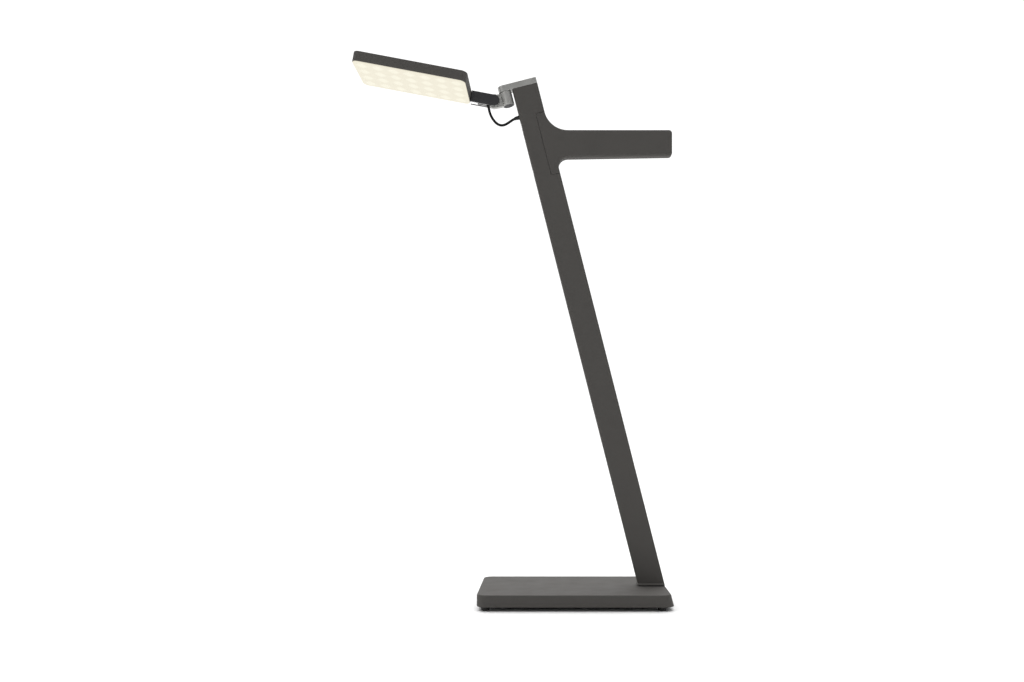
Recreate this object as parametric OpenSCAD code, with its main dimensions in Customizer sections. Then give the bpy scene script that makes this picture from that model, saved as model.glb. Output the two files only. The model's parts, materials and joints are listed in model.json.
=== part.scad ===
// Cordless reading lamp: a weighted base, a flat mast that leans forward, a carrying
// handle that holds the battery, and a thin light head on a swivel and a tilt joint.
// X runs from front (the light head) to rear (the handle), Y is across, Z is up.
// The origin is on the floor, under the middle of the whole lamp.

/* [Base] */
// Length of the base's top face, front to rear
base_l = 183.4; // [170:0.1:190]
// Width of the base
base_w = 110; // [100:1:120]
// Thickness of the base body
base_t = 11.5; // [11:0.5:14]
// Corner radius of the base in plan
base_r = 9; // [5:1:14]
// Height of a rubber foot
foot_h = 4; // [3:0.5:6]
// Diameter of a rubber foot
foot_d = 8; // [6:0.5:9]

/* [Mast] */
// X where the mast's back meets the base's top face
back_x = 146.8; // [140:0.1:150]
// Lean of the mast, forward from upright, in degrees
lean = 14.25; // [13:0.25:15]
// Length of the mast's back, from the base's top face to the cap
mast_l = 514.9; // [505:0.1:520]
// Depth of the mast, front to rear
mast_w = 25.6; // [25:0.1:26]
// Thickness of the mast, side to side
mast_t = 10.6; // [10.4:0.1:11]
// Wall of the mast tube
mast_wall = 1.5; // [1.2:0.1:1.8]
// Radius of the mast's long edges
mast_r = 1.5; // [1:0.1:1.8]

/* [Handle] */
// Height of the handle's top edge above the floor
handle_top = 468; // [464:1:470]
// X of the handle's rear end
handle_end = 153.9; // [148:0.1:160]
// Height of the handle bar at its rear end
handle_h = 25.9; // [25:0.1:27]
// Slope of the handle's lower edge, in degrees
handle_taper = 0.95; // [0:0.05:1.2]
// Radius of the sweep from the mast up onto the handle's top edge
sweep_r = 23.5; // [20:0.5:24]
// Radius under the handle, where it leaves the mast
armpit_r = 8.5; // [6:0.5:10]
// Depth of the handle's foot in the mast
foot_depth = 9; // [7:0.5:9.5]

/* [Neck] */
// Thickness of the cap arm
cap_t = 6; // [5.5:0.1:7]
// How far the cap arm reaches in front of the mast
cap_reach = 13.8; // [13:0.1:15]
// Distance from the mast's front to the swivel axis
swivel_out = 7.1; // [6.9:0.1:7.3]
// Diameter of the swivel barrel
barrel_d = 11.4; // [10.8:0.1:11.6]
// Length of the swivel barrel
barrel_l = 13.4; // [13:0.1:14]
// Distance from the swivel axis to the tilt axis
tilt_out = 13.1; // [13:0.1:14]
// Depth of the tilt axis below the cap arm
tilt_down = 6.2; // [6:0.1:7]

/* [Head] */
// Rise of the head towards its front, in degrees
head_rise = 10.6; // [0:0.1:20]
// Length of the head, front to rear
head_l = 109; // [106:1:116]
// Width of the head
head_w = 59.8; // [56:0.1:64]
// Thickness of the head's housing
head_t = 9.5; // [9.4:0.1:11]
// How far the lens plate stands out under the housing
lens_out = 1; // [0.6:0.1:1.4]
// Corner radius of the head in plan
head_r = 6; // [4:0.5:8]
// Length of the arm between the tilt axis and the head
arm_l = 23.5; // [22:0.5:28]
// Height of the arm
arm_h = 10.8; // [10.4:0.1:11.4]
// Diameter of the lamp cable
cable_d = 2.5; // [2:0.1:2.6]

/* [Hidden] */

$fn = 64;
fit = 0.1;                                // gap between two pieces that are only placed together
floor_z = foot_h;                         // underside of the base body
base_top = foot_h + base_t;
base_front = back_x - base_l;
shell = 2.2;                              // wall of the base cover
plate_t = 1.5;                            // base bottom plate
ballast_t = base_t - shell - plate_t - 0.6;
ballast_z = floor_z + plate_t + 0.2;
gasket_t = 1;
collar_t = 2;
collar_out = 1.5;                         // how far the collar stands out round the mast
mast_z = base_top + gasket_t + collar_t;  // floor height of the mast's lower end
bolt_x = [back_x - 22, back_x - 10.5];    // the two bolts that hold the mast
bolt_d = 4;
bolt_head_d = 7;
bolt_head_h = 2.6;
screw_d = 3;
small_d = 2;
foot_in = 8;                              // a foot's centre, in from the base's edges
post_in = [20, 19];                       // a screw post's centre, in from the base's edges
post_d = 7;

up = [-sin(lean), cos(lean)];             // along the mast, in the XZ plane
out = [cos(lean), sin(lean)];             // out of the mast's back, in the XZ plane
heel = [back_x, base_top];
foot_lo = 422.7;                          // the handle foot's lower and upper ends, along the mast
foot_hi = 485.3;
foot_r = 2;
end_r = 3.3;                              // corners at the handle's rear end
screw_at = [430.5, 478];                  // the handle's two screws, along the mast
insert_lo = 414;
insert_hi = 496;
boot_at = 487.3;                          // where the cable enters the mast, along the mast
boot_l = 4.7;
wire_d = 1.3;
wire_side = 2.6;                          // how far to the side the two wires run
wire_x = [-22.4, 15.5];                   // where the wires start and end, in the mast's frame
wires = [[boot_at + 0.9, -15, 458.2],     // each wire's upper Z, its X on the way down, lower Z
         [boot_at - 0.9, -16.8, 456]];

swivel_x = -mast_w - swivel_out;          // swivel axis, in the mast's frame
tilt_x = swivel_x - tilt_out;
tilt_z = mast_l - tilt_down;
washer_t = 0.3;
barrel_hi = mast_l - washer_t - fit;
barrel_lo = barrel_hi - barrel_l;
pin_d = 6;
running = 0.05;                           // radial running clearance
end_cap_t = 0.9;
barrel_pocket_d = 10.2;
pocket_h = 3.3;
tongue_t = 4;
tongue_r = 7;
slot_w = tongue_t + 0.7;                  // slot of the fork that takes the tongue and its washers
fork_w = 7.1;
tilt_d = 4;
slot_long = 16;                           // the slot's lower part, from the tilt axis
slot_short = 9.5;                         // the slot's upper part, from the tilt axis
slot_roof = 3.9;

head_x0 = -arm_l - head_l;                // head, in the tilt frame
head_x1 = -arm_l;
head_y1 = mast_t / 2;
head_y0 = head_y1 - head_w;
rim = 1.3;
lens_in = 2.2;                            // how far the lens plate reaches into the housing
lens_edge = 0.4;                          // the lens plate's edge, in from the housing's
board_lo = -1.1;                          // underside of the LED board
board_t = 1.2;
spreader_t = 1;
roof = head_t / 2 - 1.2;                  // underside of the head's top wall
led_pitch = [15.2, 14.4];
led_count = [7, 4];
led_size = 3;
led_t = 0.8;
head_mid = [(head_x0 + head_x1) / 2, (head_y0 + head_y1) / 2];

// The lamp cable's route, from the gland on the knuckle down and round to the mast (X, Z).
cable_route = [[-29.0, 494.8], [-28.7, 493.0], [-28.4, 491.1], [-28.0, 489.1], [-27.5, 487.0],
               [-26.8, 484.9], [-25.9, 482.8], [-24.8, 480.8], [-23.5, 478.9], [-22.0, 477.1],
               [-20.2, 475.5], [-18.1, 474.3], [-15.8, 473.8], [-13.4, 474.0], [-11.1, 474.9],
               [-8.9, 476.2], [-6.7, 477.7], [-4.6, 479.1], [-2.6, 480.1], [-0.5, 480.8],
               [1.5, 481.4]];
cable_sides = 8;
gland_at = [-28.8, 493.8];                // middle of the gland
gland_turn = 10;                          // the gland's axis, off upright, in degrees
gland_size = [3.6, tongue_t, 4];

steel = "#b9bcc0";
paint = "#4c4a46";
grey = "#a2a29e";
black = "#222224";
board_green = "#2e5a3c";
warm_white = "#fff6dd";
silver = "#c4c4c2";
copper = "#b87333";
foil = "#c9c2a4";
board_white = "#f2f2ee";
phosphor = "#ffe9a8";

// ---- frames and shared shapes ----

// X along the mast's outward back normal, Z along the mast, origin at the heel of its back.
module mast_frame() {
  translate([back_x, 0, base_top]) rotate([0, -lean, 0]) children();
}

// The origin is the tilt axis, and the head lies along -X.
module tilt_frame() {
  mast_frame() translate([tilt_x, 0, tilt_z]) rotate([0, lean + head_rise, 0]) children();
}

// A cylinder along Y, from y0 to y1.
module cross_cylinder(d, y0, y1) {
  translate([0, y1, 0]) rotate([90, 0, 0]) cylinder(d = d, h = y1 - y0);
}

// A rectangle with rounded corners, from its lowest to its highest corner.
module rounded_rect(lo, hi, r) {
  translate([lo[0] + r, lo[1]]) square([hi[0] - lo[0] - 2 * r, hi[1] - lo[1]]);
  translate([lo[0], lo[1] + r]) square([hi[0] - lo[0], hi[1] - lo[1] - 2 * r]);
  for (x = [lo[0] + r, hi[0] - r], y = [lo[1] + r, hi[1] - r]) translate([x, y]) circle(r);
}

// A flat shape drawn in X and Z, made solid from y0 to y1.
module side_plate(y0, y1) {
  translate([0, y1, 0]) rotate([90, 0, 0]) linear_extrude(y1 - y0) children();
}

// Points round part of a circle.
function arc(c, r, from, to, n = 12) =
  [for (i = [0:n]) let (a = from + (to - from) * i / n) c + r * [cos(a), sin(a)]];

// Where the line through p along d meets the line through q along e.
function meet(p, d, q, e) = p + d * cross(q - p, e) / cross(d, e);

// A point x behind the mast's back and z along it.
function by_mast(x, z) = heel + x * out + z * up;

// A flat-head screw along Z with its top at z = 0: cone, then shank.
module flat_screw(d, head_d, head_h, l) {
  translate([0, 0, -head_h]) cylinder(d1 = d, d2 = head_d, h = head_h);
  translate([0, 0, -l]) cylinder(d = d, h = l - head_h / 2);
}

// ---- base ----

// The base's body, drawn in by inset, between two floor heights. Its rear end is in the
// plane of the mast's back.
module base_form(inset, z0, z1) {
  far = 400;
  r = base_r - inset;
  intersection() {
    translate([0, 0, z0]) linear_extrude(z1 - z0)
      rounded_rect([base_front + inset, inset - base_w / 2], [far, base_w / 2 - inset], r);
    mast_frame() translate([0, 0, -2 * base_t]) linear_extrude(base_l)
      rounded_rect([-far, inset - base_w / 2], [-inset, base_w / 2 - inset], r);
  }
}

module at_base_corners(inset_x, inset_y) {
  for (x = [base_front + inset_x, back_x - inset_x], y = [-1, 1])
    translate([x, y * (base_w / 2 - inset_y), 0]) children();
}

module bolt_holes(z0, z1, d) {
  for (x = bolt_x) translate([x, 0, z0]) cylinder(d = d, h = z1 - z0);
}

module base_cover() {
  color(paint) difference() {
    union() {
      difference() {
        base_form(0, floor_z, base_top);
        base_form(shell, floor_z - 1, base_top - shell);
      }
      at_base_corners(post_in[0], post_in[1])
        translate([0, 0, floor_z + plate_t]) cylinder(d = post_d, h = base_t - plate_t - 1);
    }
    at_base_corners(post_in[0], post_in[1])
      translate([0, 0, floor_z]) cylinder(d = screw_d, h = base_t - shell - 0.5);
    bolt_holes(floor_z, base_top + 1, bolt_d + 0.4);
  }
}

module ballast_plate() {
  color(steel) difference() {
    base_form(shell + 0.4, ballast_z, ballast_z + ballast_t);
    at_base_corners(post_in[0], post_in[1]) cylinder(d = post_d + 1, h = base_top);
    bolt_holes(floor_z, base_top, bolt_d + 0.4);
    bolt_holes(floor_z, ballast_z + bolt_head_h, bolt_head_d + 0.6);
  }
}

module base_bottom_plate() {
  color(black) difference() {
    base_form(shell + fit, floor_z, floor_z + plate_t);
    at_base_corners(post_in[0], post_in[1])
      translate([0, 0, floor_z]) mirror([0, 0, 1]) flat_screw(screw_d, 5.6, plate_t, 8);
  }
}

module base_screws() {
  color(steel) at_base_corners(post_in[0], post_in[1])
    translate([0, 0, floor_z]) mirror([0, 0, 1]) flat_screw(screw_d, 5.6, plate_t, 7.5);
}

module feet() {
  edge = 0.8;
  color(black) at_base_corners(foot_in, foot_in) {
    cylinder(d1 = foot_d - 2 * edge, d2 = foot_d, h = edge);
    translate([0, 0, edge]) cylinder(d = foot_d, h = foot_h - edge);
  }
}

// ---- mast ----

// The mast's section, drawn in by inset, along a length of the mast.
module mast_prism(inset, z0, z1) {
  translate([0, 0, z0]) linear_extrude(z1 - z0)
    rounded_rect([inset - mast_w, inset - mast_t / 2], [-inset, mast_t / 2 - inset],
                 max(mast_r - inset, 0.4));
}

// Everything below a floor height, near the mast's foot.
module below(z) {
  translate([back_x - 60, -20, z - 60]) cube([90, 40, 60]);
}

// A level outline of the mast's foot that stands out by grow in front and at the sides.
module foot_slice(z, grow) {
  w = mast_w / cos(lean);
  translate([back_x - (z - base_top) * tan(lean), 0, z])
    linear_extrude(0.01)
      rounded_rect([-w - grow, -mast_t / 2 - grow], [0, mast_t / 2 + grow], mast_r, $fn = 32);
}

module foot_gasket() {
  color(black) difference() {
    intersection() {
      mast_frame() mast_prism(0.2, -4, 12);
      translate([back_x - 60, -20, base_top]) cube([90, 40, gasket_t]);
    }
    bolt_holes(base_top - 1, mast_z, bolt_d + 0.4);
  }
}

module mast_collar() {
  color(paint) difference() {
    hull() {
      foot_slice(base_top + gasket_t, collar_out);
      foot_slice(mast_z - 0.01, 0);
    }
    bolt_holes(base_top, mast_z + 1, bolt_d + 0.4);
  }
}

module mast_bolts() {
  tip = mast_z + 15;
  color(steel) for (x = bolt_x) translate([x, 0, ballast_z]) {
    cylinder(d = bolt_head_d, h = bolt_head_h);
    cylinder(d = bolt_d, h = tip - ballast_z);
  }
}

// The pocket in the mast's back that takes the handle's foot.
module foot_pocket(gap, y0, y1) {
  side_plate(y0, y1)
    rounded_rect([-foot_depth - gap, foot_lo - gap], [foot_depth, foot_hi + gap], foot_r + gap);
}

// The handle's screws, driven in from the mast's front.
module at_handle_screws() {
  for (z = screw_at) translate([-mast_w, 0, z]) rotate([0, -90, 0]) children();
}

// The way through the mast's front wall for the cable boot.
module boot_hole(d) {
  translate([-mast_w - 1, 0, boot_at]) rotate([0, 90, 0]) cylinder(d = d, h = mast_wall + 2);
}

module mast_tube() {
  color(paint) difference() {
    mast_frame() difference() {
      mast_prism(0, -4, mast_l);
      mast_prism(mast_wall, -5, mast_l + 1);
      foot_pocket(fit, -mast_t, mast_t);
      boot_hole(3.2);
      at_handle_screws() flat_screw(screw_d + 0.3, 5.9, 1.7, 6);
    }
    below(mast_z);
  }
}

module mast_foot_plug() {
  color(steel) difference() {
    mast_frame() mast_prism(mast_wall + fit, -4, 34);
    below(mast_z);
    bolt_holes(mast_z - 1, mast_z + 18, bolt_d);
  }
}

module at_cap_screws() {
  for (x = [-18.5, -6.5]) translate([x, 0, mast_l + cap_t]) children();
}

module mast_head_plug() {
  color(steel) mast_frame() difference() {
    mast_prism(mast_wall + fit, mast_l - 16, mast_l);
    at_cap_screws() translate([0, 0, -cap_t - 12]) cylinder(d = screw_d, h = 13);
  }
}

module mast_insert() {
  color(steel) mast_frame() difference() {
    mast_prism(mast_wall + fit, insert_lo, insert_hi);
    foot_pocket(2 * fit, -mast_t, mast_t);
    // upper end left open behind the cable boot
    translate([-mast_w, -mast_t, boot_at - 4.5]) cube([12, 2 * mast_t, insert_hi]);
    // groove for the wires, down to the handle's opening
    translate([wires[1][1] - 1.2, wire_side - 0.8, wires[1][2] - 1]) {
      cube([4.4, mast_t, insert_hi]);
      cube([mast_w, mast_t, 4.2]);
    }
    at_handle_screws() flat_screw(screw_d + 0.3, 5.9, 1.7, 20);
  }
}

// Two insulated wires, side by side: from the cable boot, past the screw, down and out
// to the battery.
module mast_wires() {
  half = wire_d / 2;
  color(black) mast_frame() side_plate(wire_side - half, wire_side + half) for (w = wires) {
    translate([wire_x[0], w[0] - half]) square([w[1] + half - wire_x[0], wire_d]);
    translate([w[1] - half, w[2] - half]) square([wire_d, w[0] - w[2] + wire_d]);
    translate([w[1] - half, w[2] - half]) square([wire_x[1] - w[1] + half, wire_d]);
  }
}

// A tapered rubber boot where the cable goes into the mast's front.
module cable_boot() {
  color(black) mast_frame() translate([-mast_w, 0, boot_at]) rotate([0, 90, 0]) difference() {
    union() {
      translate([0, 0, -boot_l]) cylinder(d1 = 3.2, d2 = 4.2, h = boot_l);
      cylinder(d = 3.2, h = mast_wall);
      translate([0, 0, mast_wall]) cylinder(d = 4.6, h = 1);
    }
    translate([0, 0, -boot_l - 1]) cylinder(d = cable_d + 0.2, h = boot_l + 0.5);
  }
}

// ---- handle ----

sweep_c = meet(heel + sweep_r * out, up, [0, handle_top + sweep_r], [1, 0]);
low_dir = [cos(handle_taper), sin(handle_taper)];
low_out = [sin(handle_taper), -cos(handle_taper)];
low_end = [handle_end, handle_top - handle_h];
armpit_c = meet(heel + armpit_r * out, up, low_end + armpit_r * low_out, low_dir);
end_low_c = meet([handle_end - end_r, 0], [0, 1], low_end - end_r * low_out, low_dir);

// The handle from the side: its foot in the mast, the sweep, the bar and the armpit.
handle_outline = concat(
  [by_mast(0, foot_lo)],
  arc(by_mast(foot_r - foot_depth, foot_lo + foot_r), foot_r, 270 + lean, 180 + lean, 6),
  arc(by_mast(foot_r - foot_depth, foot_hi - foot_r), foot_r, 180 + lean, 90 + lean, 6),
  arc(sweep_c, sweep_r, 180 + lean, 270, 20),
  arc([handle_end - end_r, handle_top - end_r], end_r, 90, 0, 8),
  arc(end_low_c, end_r, 0, handle_taper - 90, 8),
  arc(armpit_c, armpit_r, 90 + handle_taper, 180 + lean, 16));

handle_wall = 1.4;
cavity_z = [445, 465.4];
cavity_end = handle_end - 2;

module handle_shell() {
  color(paint) difference() {
    side_plate(-mast_t / 2, mast_t / 2) polygon(handle_outline);
    // battery space, open into the mast
    translate([back_x - 130, handle_wall - mast_t / 2, cavity_z[0]])
      cube([cavity_end - back_x + 130, mast_t - 2 * handle_wall, cavity_z[1] - cavity_z[0]]);
    // opening for the charging port
    translate([cavity_end - 1, -1.7, 451]) cube([4, 3.4, 9.2]);
    mast_frame() at_handle_screws() translate([0, 0, -mast_w + 1]) cylinder(d = screw_d, h = 10);
  }
}

module handle_screws() {
  color(steel) mast_frame() at_handle_screws() flat_screw(screw_d, 5.6, 1.6, 23.6);
}

module battery_pack() {
  edge = 1.5;
  color(foil) side_plate(-3.2, 3.2)
    rounded_rect([back_x - 97, cavity_z[0] + 0.4], [back_x - 27, cavity_z[1] - 0.4], edge);
}

module charge_board() {
  x0 = back_x - 25;
  color(board_green) {
    translate([x0, -2.7, cavity_z[0] + 0.4])
      cube([cavity_end - x0 - 0.3, 1, cavity_z[1] - cavity_z[0] - 0.8]);
    // coil, controller and connector
    translate([x0 + 4, -1.7, 455]) cube([5, 2.6, 5]);
    translate([x0 + 11, -1.7, 450]) cube([5, 1, 5]);
    translate([x0 + 1, -1.7, 448]) cube([6, 3, 4]);
  }
}

module charge_port() {
  color(steel) translate([handle_end - 9, 0, 455.6]) difference() {
    side_plate(-1.6, 1.6) rounded_rect([0, -4.45], [8.7, 4.45], 0.4);
    side_plate(-1.25, 1.25) rounded_rect([1.5, -4.1], [9.5, 4.1], 0.3);
  }
}

// ---- neck ----

module cap_arm() {
  tip = mast_t / 2;
  front = -mast_w - cap_reach;
  color(grey) mast_frame() difference() {
    translate([0, 0, mast_l]) linear_extrude(cap_t) {
      translate([front + tip, 0]) circle(tip);
      translate([front + tip, -tip]) square([-front - tip - mast_r, mast_t]);
      rounded_rect([-mast_w, -tip], [0, tip], mast_r);
    }
    at_cap_screws() flat_screw(screw_d + 0.3, 5.8, 1.7, cap_t + 1);
    translate([swivel_x, 0, mast_l - 1]) cylinder(d = pin_d, h = cap_t - 0.5);
  }
}

module cap_screws() {
  color(steel) mast_frame() at_cap_screws() flat_screw(screw_d, 5.4, 1.6, cap_t + 11);
}

pin_lo = barrel_lo + pocket_h + 0.1;

module swivel_pin() {
  color(steel) mast_frame() translate([swivel_x, 0, 0]) difference() {
    translate([0, 0, pin_lo]) cylinder(d = pin_d, h = mast_l + cap_t - 1.5 - pin_lo);
    translate([0, 0, pin_lo - 1]) cylinder(d = screw_d, h = 8);
  }
}

module washer(d, bore, t) {
  difference() {
    cylinder(d = d, h = t);
    translate([0, 0, -1]) cylinder(d = bore, h = t + 2);
  }
}

module thrust_washer() {
  color(black) mast_frame() translate([swivel_x, 0, mast_l - washer_t])
    washer(9.4, pin_d + 0.1, washer_t);
}

module spring_washer() {
  color(steel) mast_frame() translate([swivel_x, 0, pin_lo - 0.8]) washer(8.2, screw_d + 0.2, 0.6);
}

module swivel_screw() {
  color(steel) mast_frame() translate([swivel_x, 0, pin_lo - 2.1]) {
    cylinder(d = 5.4, h = 1.3);
    cylinder(d = screw_d, h = 8);
  }
}

module gland_frame() {
  translate([gland_at[0], 0, gland_at[1]]) rotate([0, -gland_turn, 0]) children();
}

// Barrel and tongue in one casting, grey.
module knuckle() {
  color(grey) difference() {
    mast_frame() difference() {
      union() {
        translate([swivel_x, 0, barrel_lo]) cylinder(d = barrel_d, h = barrel_l);
        translate([tilt_x, 0, tilt_z]) cross_cylinder(2 * tongue_r, -tongue_t / 2, tongue_t / 2);
        translate([tilt_x, -tongue_t / 2, barrel_lo])
          cube([tilt_out, tongue_t, barrel_l]);
      }
      translate([swivel_x, 0, barrel_lo - 1]) {
        cylinder(d = pin_d + 2 * running, h = barrel_l + 2);
        cylinder(d = barrel_pocket_d, h = pocket_h + 1);
      }
      translate([tilt_x, 0, tilt_z]) cross_cylinder(tilt_d + 2 * running, -5, 5);
    }
    gland_frame() cube(gland_size, center = true);
  }
}

module barrel_end_cap() {
  color(black) mast_frame() translate([swivel_x, 0, barrel_lo])
    cylinder(d = barrel_pocket_d, h = end_cap_t);
}

// The grommet that holds the cable's upper end on the knuckle.
module cable_gland() {
  depth = 3.1;
  color(black) gland_frame() difference() {
    cube(gland_size, center = true);
    translate([0, 0, -gland_size[2] / 2 - 1]) cylinder(d = cable_d + 0.2, h = depth + 1);
  }
}

// ---- arm ----

// The arm from the side, in the tilt frame: round at the tilt axis, square at the head.
module arm_side(inset) {
  r = arm_h / 2 - inset;
  circle(r);
  translate([-arm_l + 0.1, -r]) square([arm_l - 0.1, 2 * r]);
}

tab = [[-arm_l - 17, -2.5, 1.2], [17.2, 5, 2.1]];   // corner and size of the fork's tab in the head

module at_arm_screws() {
  for (x = [-6.5, -13]) translate([-arm_l + x, 0, 0]) children();
}

module arm_fork() {
  color(silver) tilt_frame() difference() {
    union() {
      side_plate(-fork_w / 2, fork_w / 2) arm_side(0.3);
      translate(tab[0]) cube(tab[1]);
    }
    side_plate(-slot_w / 2, slot_w / 2) {
      translate([-slot_short, -arm_h]) square([slot_short + arm_h, 2 * arm_h]);
      translate([-slot_long, -arm_h]) square([slot_long, arm_h + slot_roof]);
    }
    cross_cylinder(tilt_d, -5, 5);
    at_arm_screws() cylinder(d = small_d, h = 5);
  }
}

// A black cover on one side of the fork, over the tilt pin's end.
module arm_cover(side) {
  y = [fork_w / 2, mast_t / 2];
  color(black) tilt_frame() difference() {
    side_plate(min(side * y[0], side * y[1]), max(side * y[0], side * y[1])) arm_side(0);
    translate([0, side * fork_w / 2, 0]) cross_cylinder(tilt_d + 0.3, -0.8, 0.8);
  }
}

module arm_cover_near() {
  arm_cover(-1);
}

module arm_cover_far() {
  arm_cover(1);
}

module tilt_pin() {
  reach = fork_w / 2 + 0.6;
  color(steel) tilt_frame() cross_cylinder(tilt_d, -reach, reach);
}

module tilt_washers() {
  gap = tongue_t / 2 + 0.03;
  color(black) tilt_frame() for (y = [gap, -gap - washer_t]) difference() {
    cross_cylinder(9.4, y, y + washer_t);
    cross_cylinder(tilt_d, -5, 5);
  }
}

module arm_screws() {
  color(steel) tilt_frame() at_arm_screws() translate([0, 0, tab[0][2]]) {
    cylinder(d = small_d, h = roof - tab[0][2] + 0.6);
  }
}

// The swept tube of the lamp cable: a ring of points at each point of the route.
module lamp_cable() {
  n = len(cable_route);
  rings = [for (i = [0:n - 1]) let (
             step = cable_route[min(i + 1, n - 1)] - cable_route[max(i - 1, 0)],
             along = step / norm(step),
             side = [-along[1], along[0]])
           for (k = [0:cable_sides - 1]) let (
             a = (k + 0.5) * 360 / cable_sides,
             flat = cable_route[i] + cable_d / 2 * cos(a) * side)
           [flat[0], cable_d / 2 * sin(a), flat[1]]];
  walls = [for (i = [0:n - 2], k = [0:cable_sides - 1]) let (m = (k + 1) % cable_sides)
           [i * cable_sides + k, i * cable_sides + m,
            (i + 1) * cable_sides + m, (i + 1) * cable_sides + k]];
  ends = [[for (k = [cable_sides - 1:-1:0]) k],
          [for (k = [0:cable_sides - 1]) (n - 1) * cable_sides + k]];
  color(black) polyhedron(points = rings, faces = concat(walls, ends));
}

// ---- head ----

// The head's body, drawn in by inset, between two heights in the tilt frame.
module head_form(inset, z0, z1) {
  translate([0, 0, z0]) linear_extrude(z1 - z0)
    rounded_rect([head_x0 + inset, head_y0 + inset], [head_x1 - inset, head_y1 - inset],
                 head_r - inset);
}

// The head's four screws, each in the middle of four LEDs.
module at_head_bosses() {
  for (i = [-1, 1] * (led_count[0] - 2) / 2, j = [-1, 1] * (led_count[1] - 2) / 2)
    translate([head_mid[0] + i * led_pitch[0], head_mid[1] + j * led_pitch[1], 0]) children();
}

module head_housing() {
  spreader_top = board_lo + board_t + spreader_t;
  color(paint) tilt_frame() difference() {
    union() {
      difference() {
        head_form(0, -head_t / 2, head_t / 2);
        head_form(rim, -head_t, roof);
      }
      at_head_bosses() translate([0, 0, spreader_top]) cylinder(d = 4.4, h = roof - spreader_top + 0.3);
    }
    // way in for the fork's tab
    translate([head_x1 - 3, tab[0][1] - fit, tab[0][2] - fit]) cube([6, 5.2, 2.3]);
    at_head_bosses() cylinder(d = small_d, h = roof + 0.2);
    at_arm_screws() cylinder(d = small_d, h = roof + 0.6);
  }
}

module heat_spreader() {
  color(silver) tilt_frame() difference() {
    head_form(rim + 0.3, board_lo + board_t, board_lo + board_t + spreader_t);
    at_head_bosses() cylinder(d = small_d + 0.3, h = 9, center = true);
  }
}

module led_board() {
  color(board_white) tilt_frame() difference() {
    head_form(rim + 0.5, board_lo, board_lo + board_t);
    at_head_bosses() cylinder(d = small_d + 0.3, h = 9, center = true);
  }
}

module leds() {
  color(phosphor) tilt_frame()
    for (i = [0:led_count[0] - 1], j = [0:led_count[1] - 1])
      translate([head_mid[0] + (i - (led_count[0] - 1) / 2) * led_pitch[0],
                 head_mid[1] + (j - (led_count[1] - 1) / 2) * led_pitch[1], board_lo - led_t / 2])
        cube([led_size, led_size, led_t], center = true);
}

module lens_plate() {
  under = -head_t / 2;
  color(warm_white) tilt_frame() {
    head_form(lens_edge, under - lens_out, under);
    head_form(rim + fit, under, under + lens_in);
  }
}

module driver_board() {
  z = board_lo + board_t + spreader_t + 0.1;
  color(board_green) tilt_frame() translate([head_x1 - 58, head_y0 + 12, z]) {
    cube([34, 16, 0.8]);
    translate([3, 3, 0.8]) cube([6, 6, 1.4]);
    translate([14, 5, 0.8]) cube([5, 5, 0.9]);
    translate([24, 4, 0.8]) cube([7, 4, 1.2]);
  }
}

module touch_sensor() {
  color(copper) tilt_frame() translate([head_x0 + 24, head_y0 + 23, roof - 0.6])
    cube([22, 14, 0.5]);
}

module head_screws() {
  top = board_lo - 0.9;
  color(steel) tilt_frame() at_head_bosses() translate([0, 0, top]) {
    cylinder(d = 3.6, h = 0.9);
    cylinder(d = small_d, h = 5);
  }
}

base_cover();
ballast_plate();
base_bottom_plate();
base_screws();
feet();
foot_gasket();
mast_collar();
mast_bolts();
mast_tube();
mast_foot_plug();
mast_head_plug();
mast_insert();
mast_wires();
cable_boot();
handle_shell();
handle_screws();
battery_pack();
charge_board();
charge_port();
cap_arm();
cap_screws();
swivel_pin();
thrust_washer();
spring_washer();
swivel_screw();
knuckle();
barrel_end_cap();
cable_gland();
arm_fork();
arm_cover_near();
arm_cover_far();
tilt_pin();
tilt_washers();
arm_screws();
lamp_cable();
head_housing();
heat_spreader();
led_board();
leds();
lens_plate();
driver_board();
touch_sensor();
head_screws();
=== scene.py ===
"""Looks of a cordless reading lamp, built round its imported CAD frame.

All sizes are in metres, in the part's own frame: X runs from the light head to the
handle's end, Y across and Z up. OUT points out of the mast's back and UP along the mast;
HEAD_ALONG and HEAD_UP are the light head's own directions at rest.
"""

import json
import math

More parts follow.
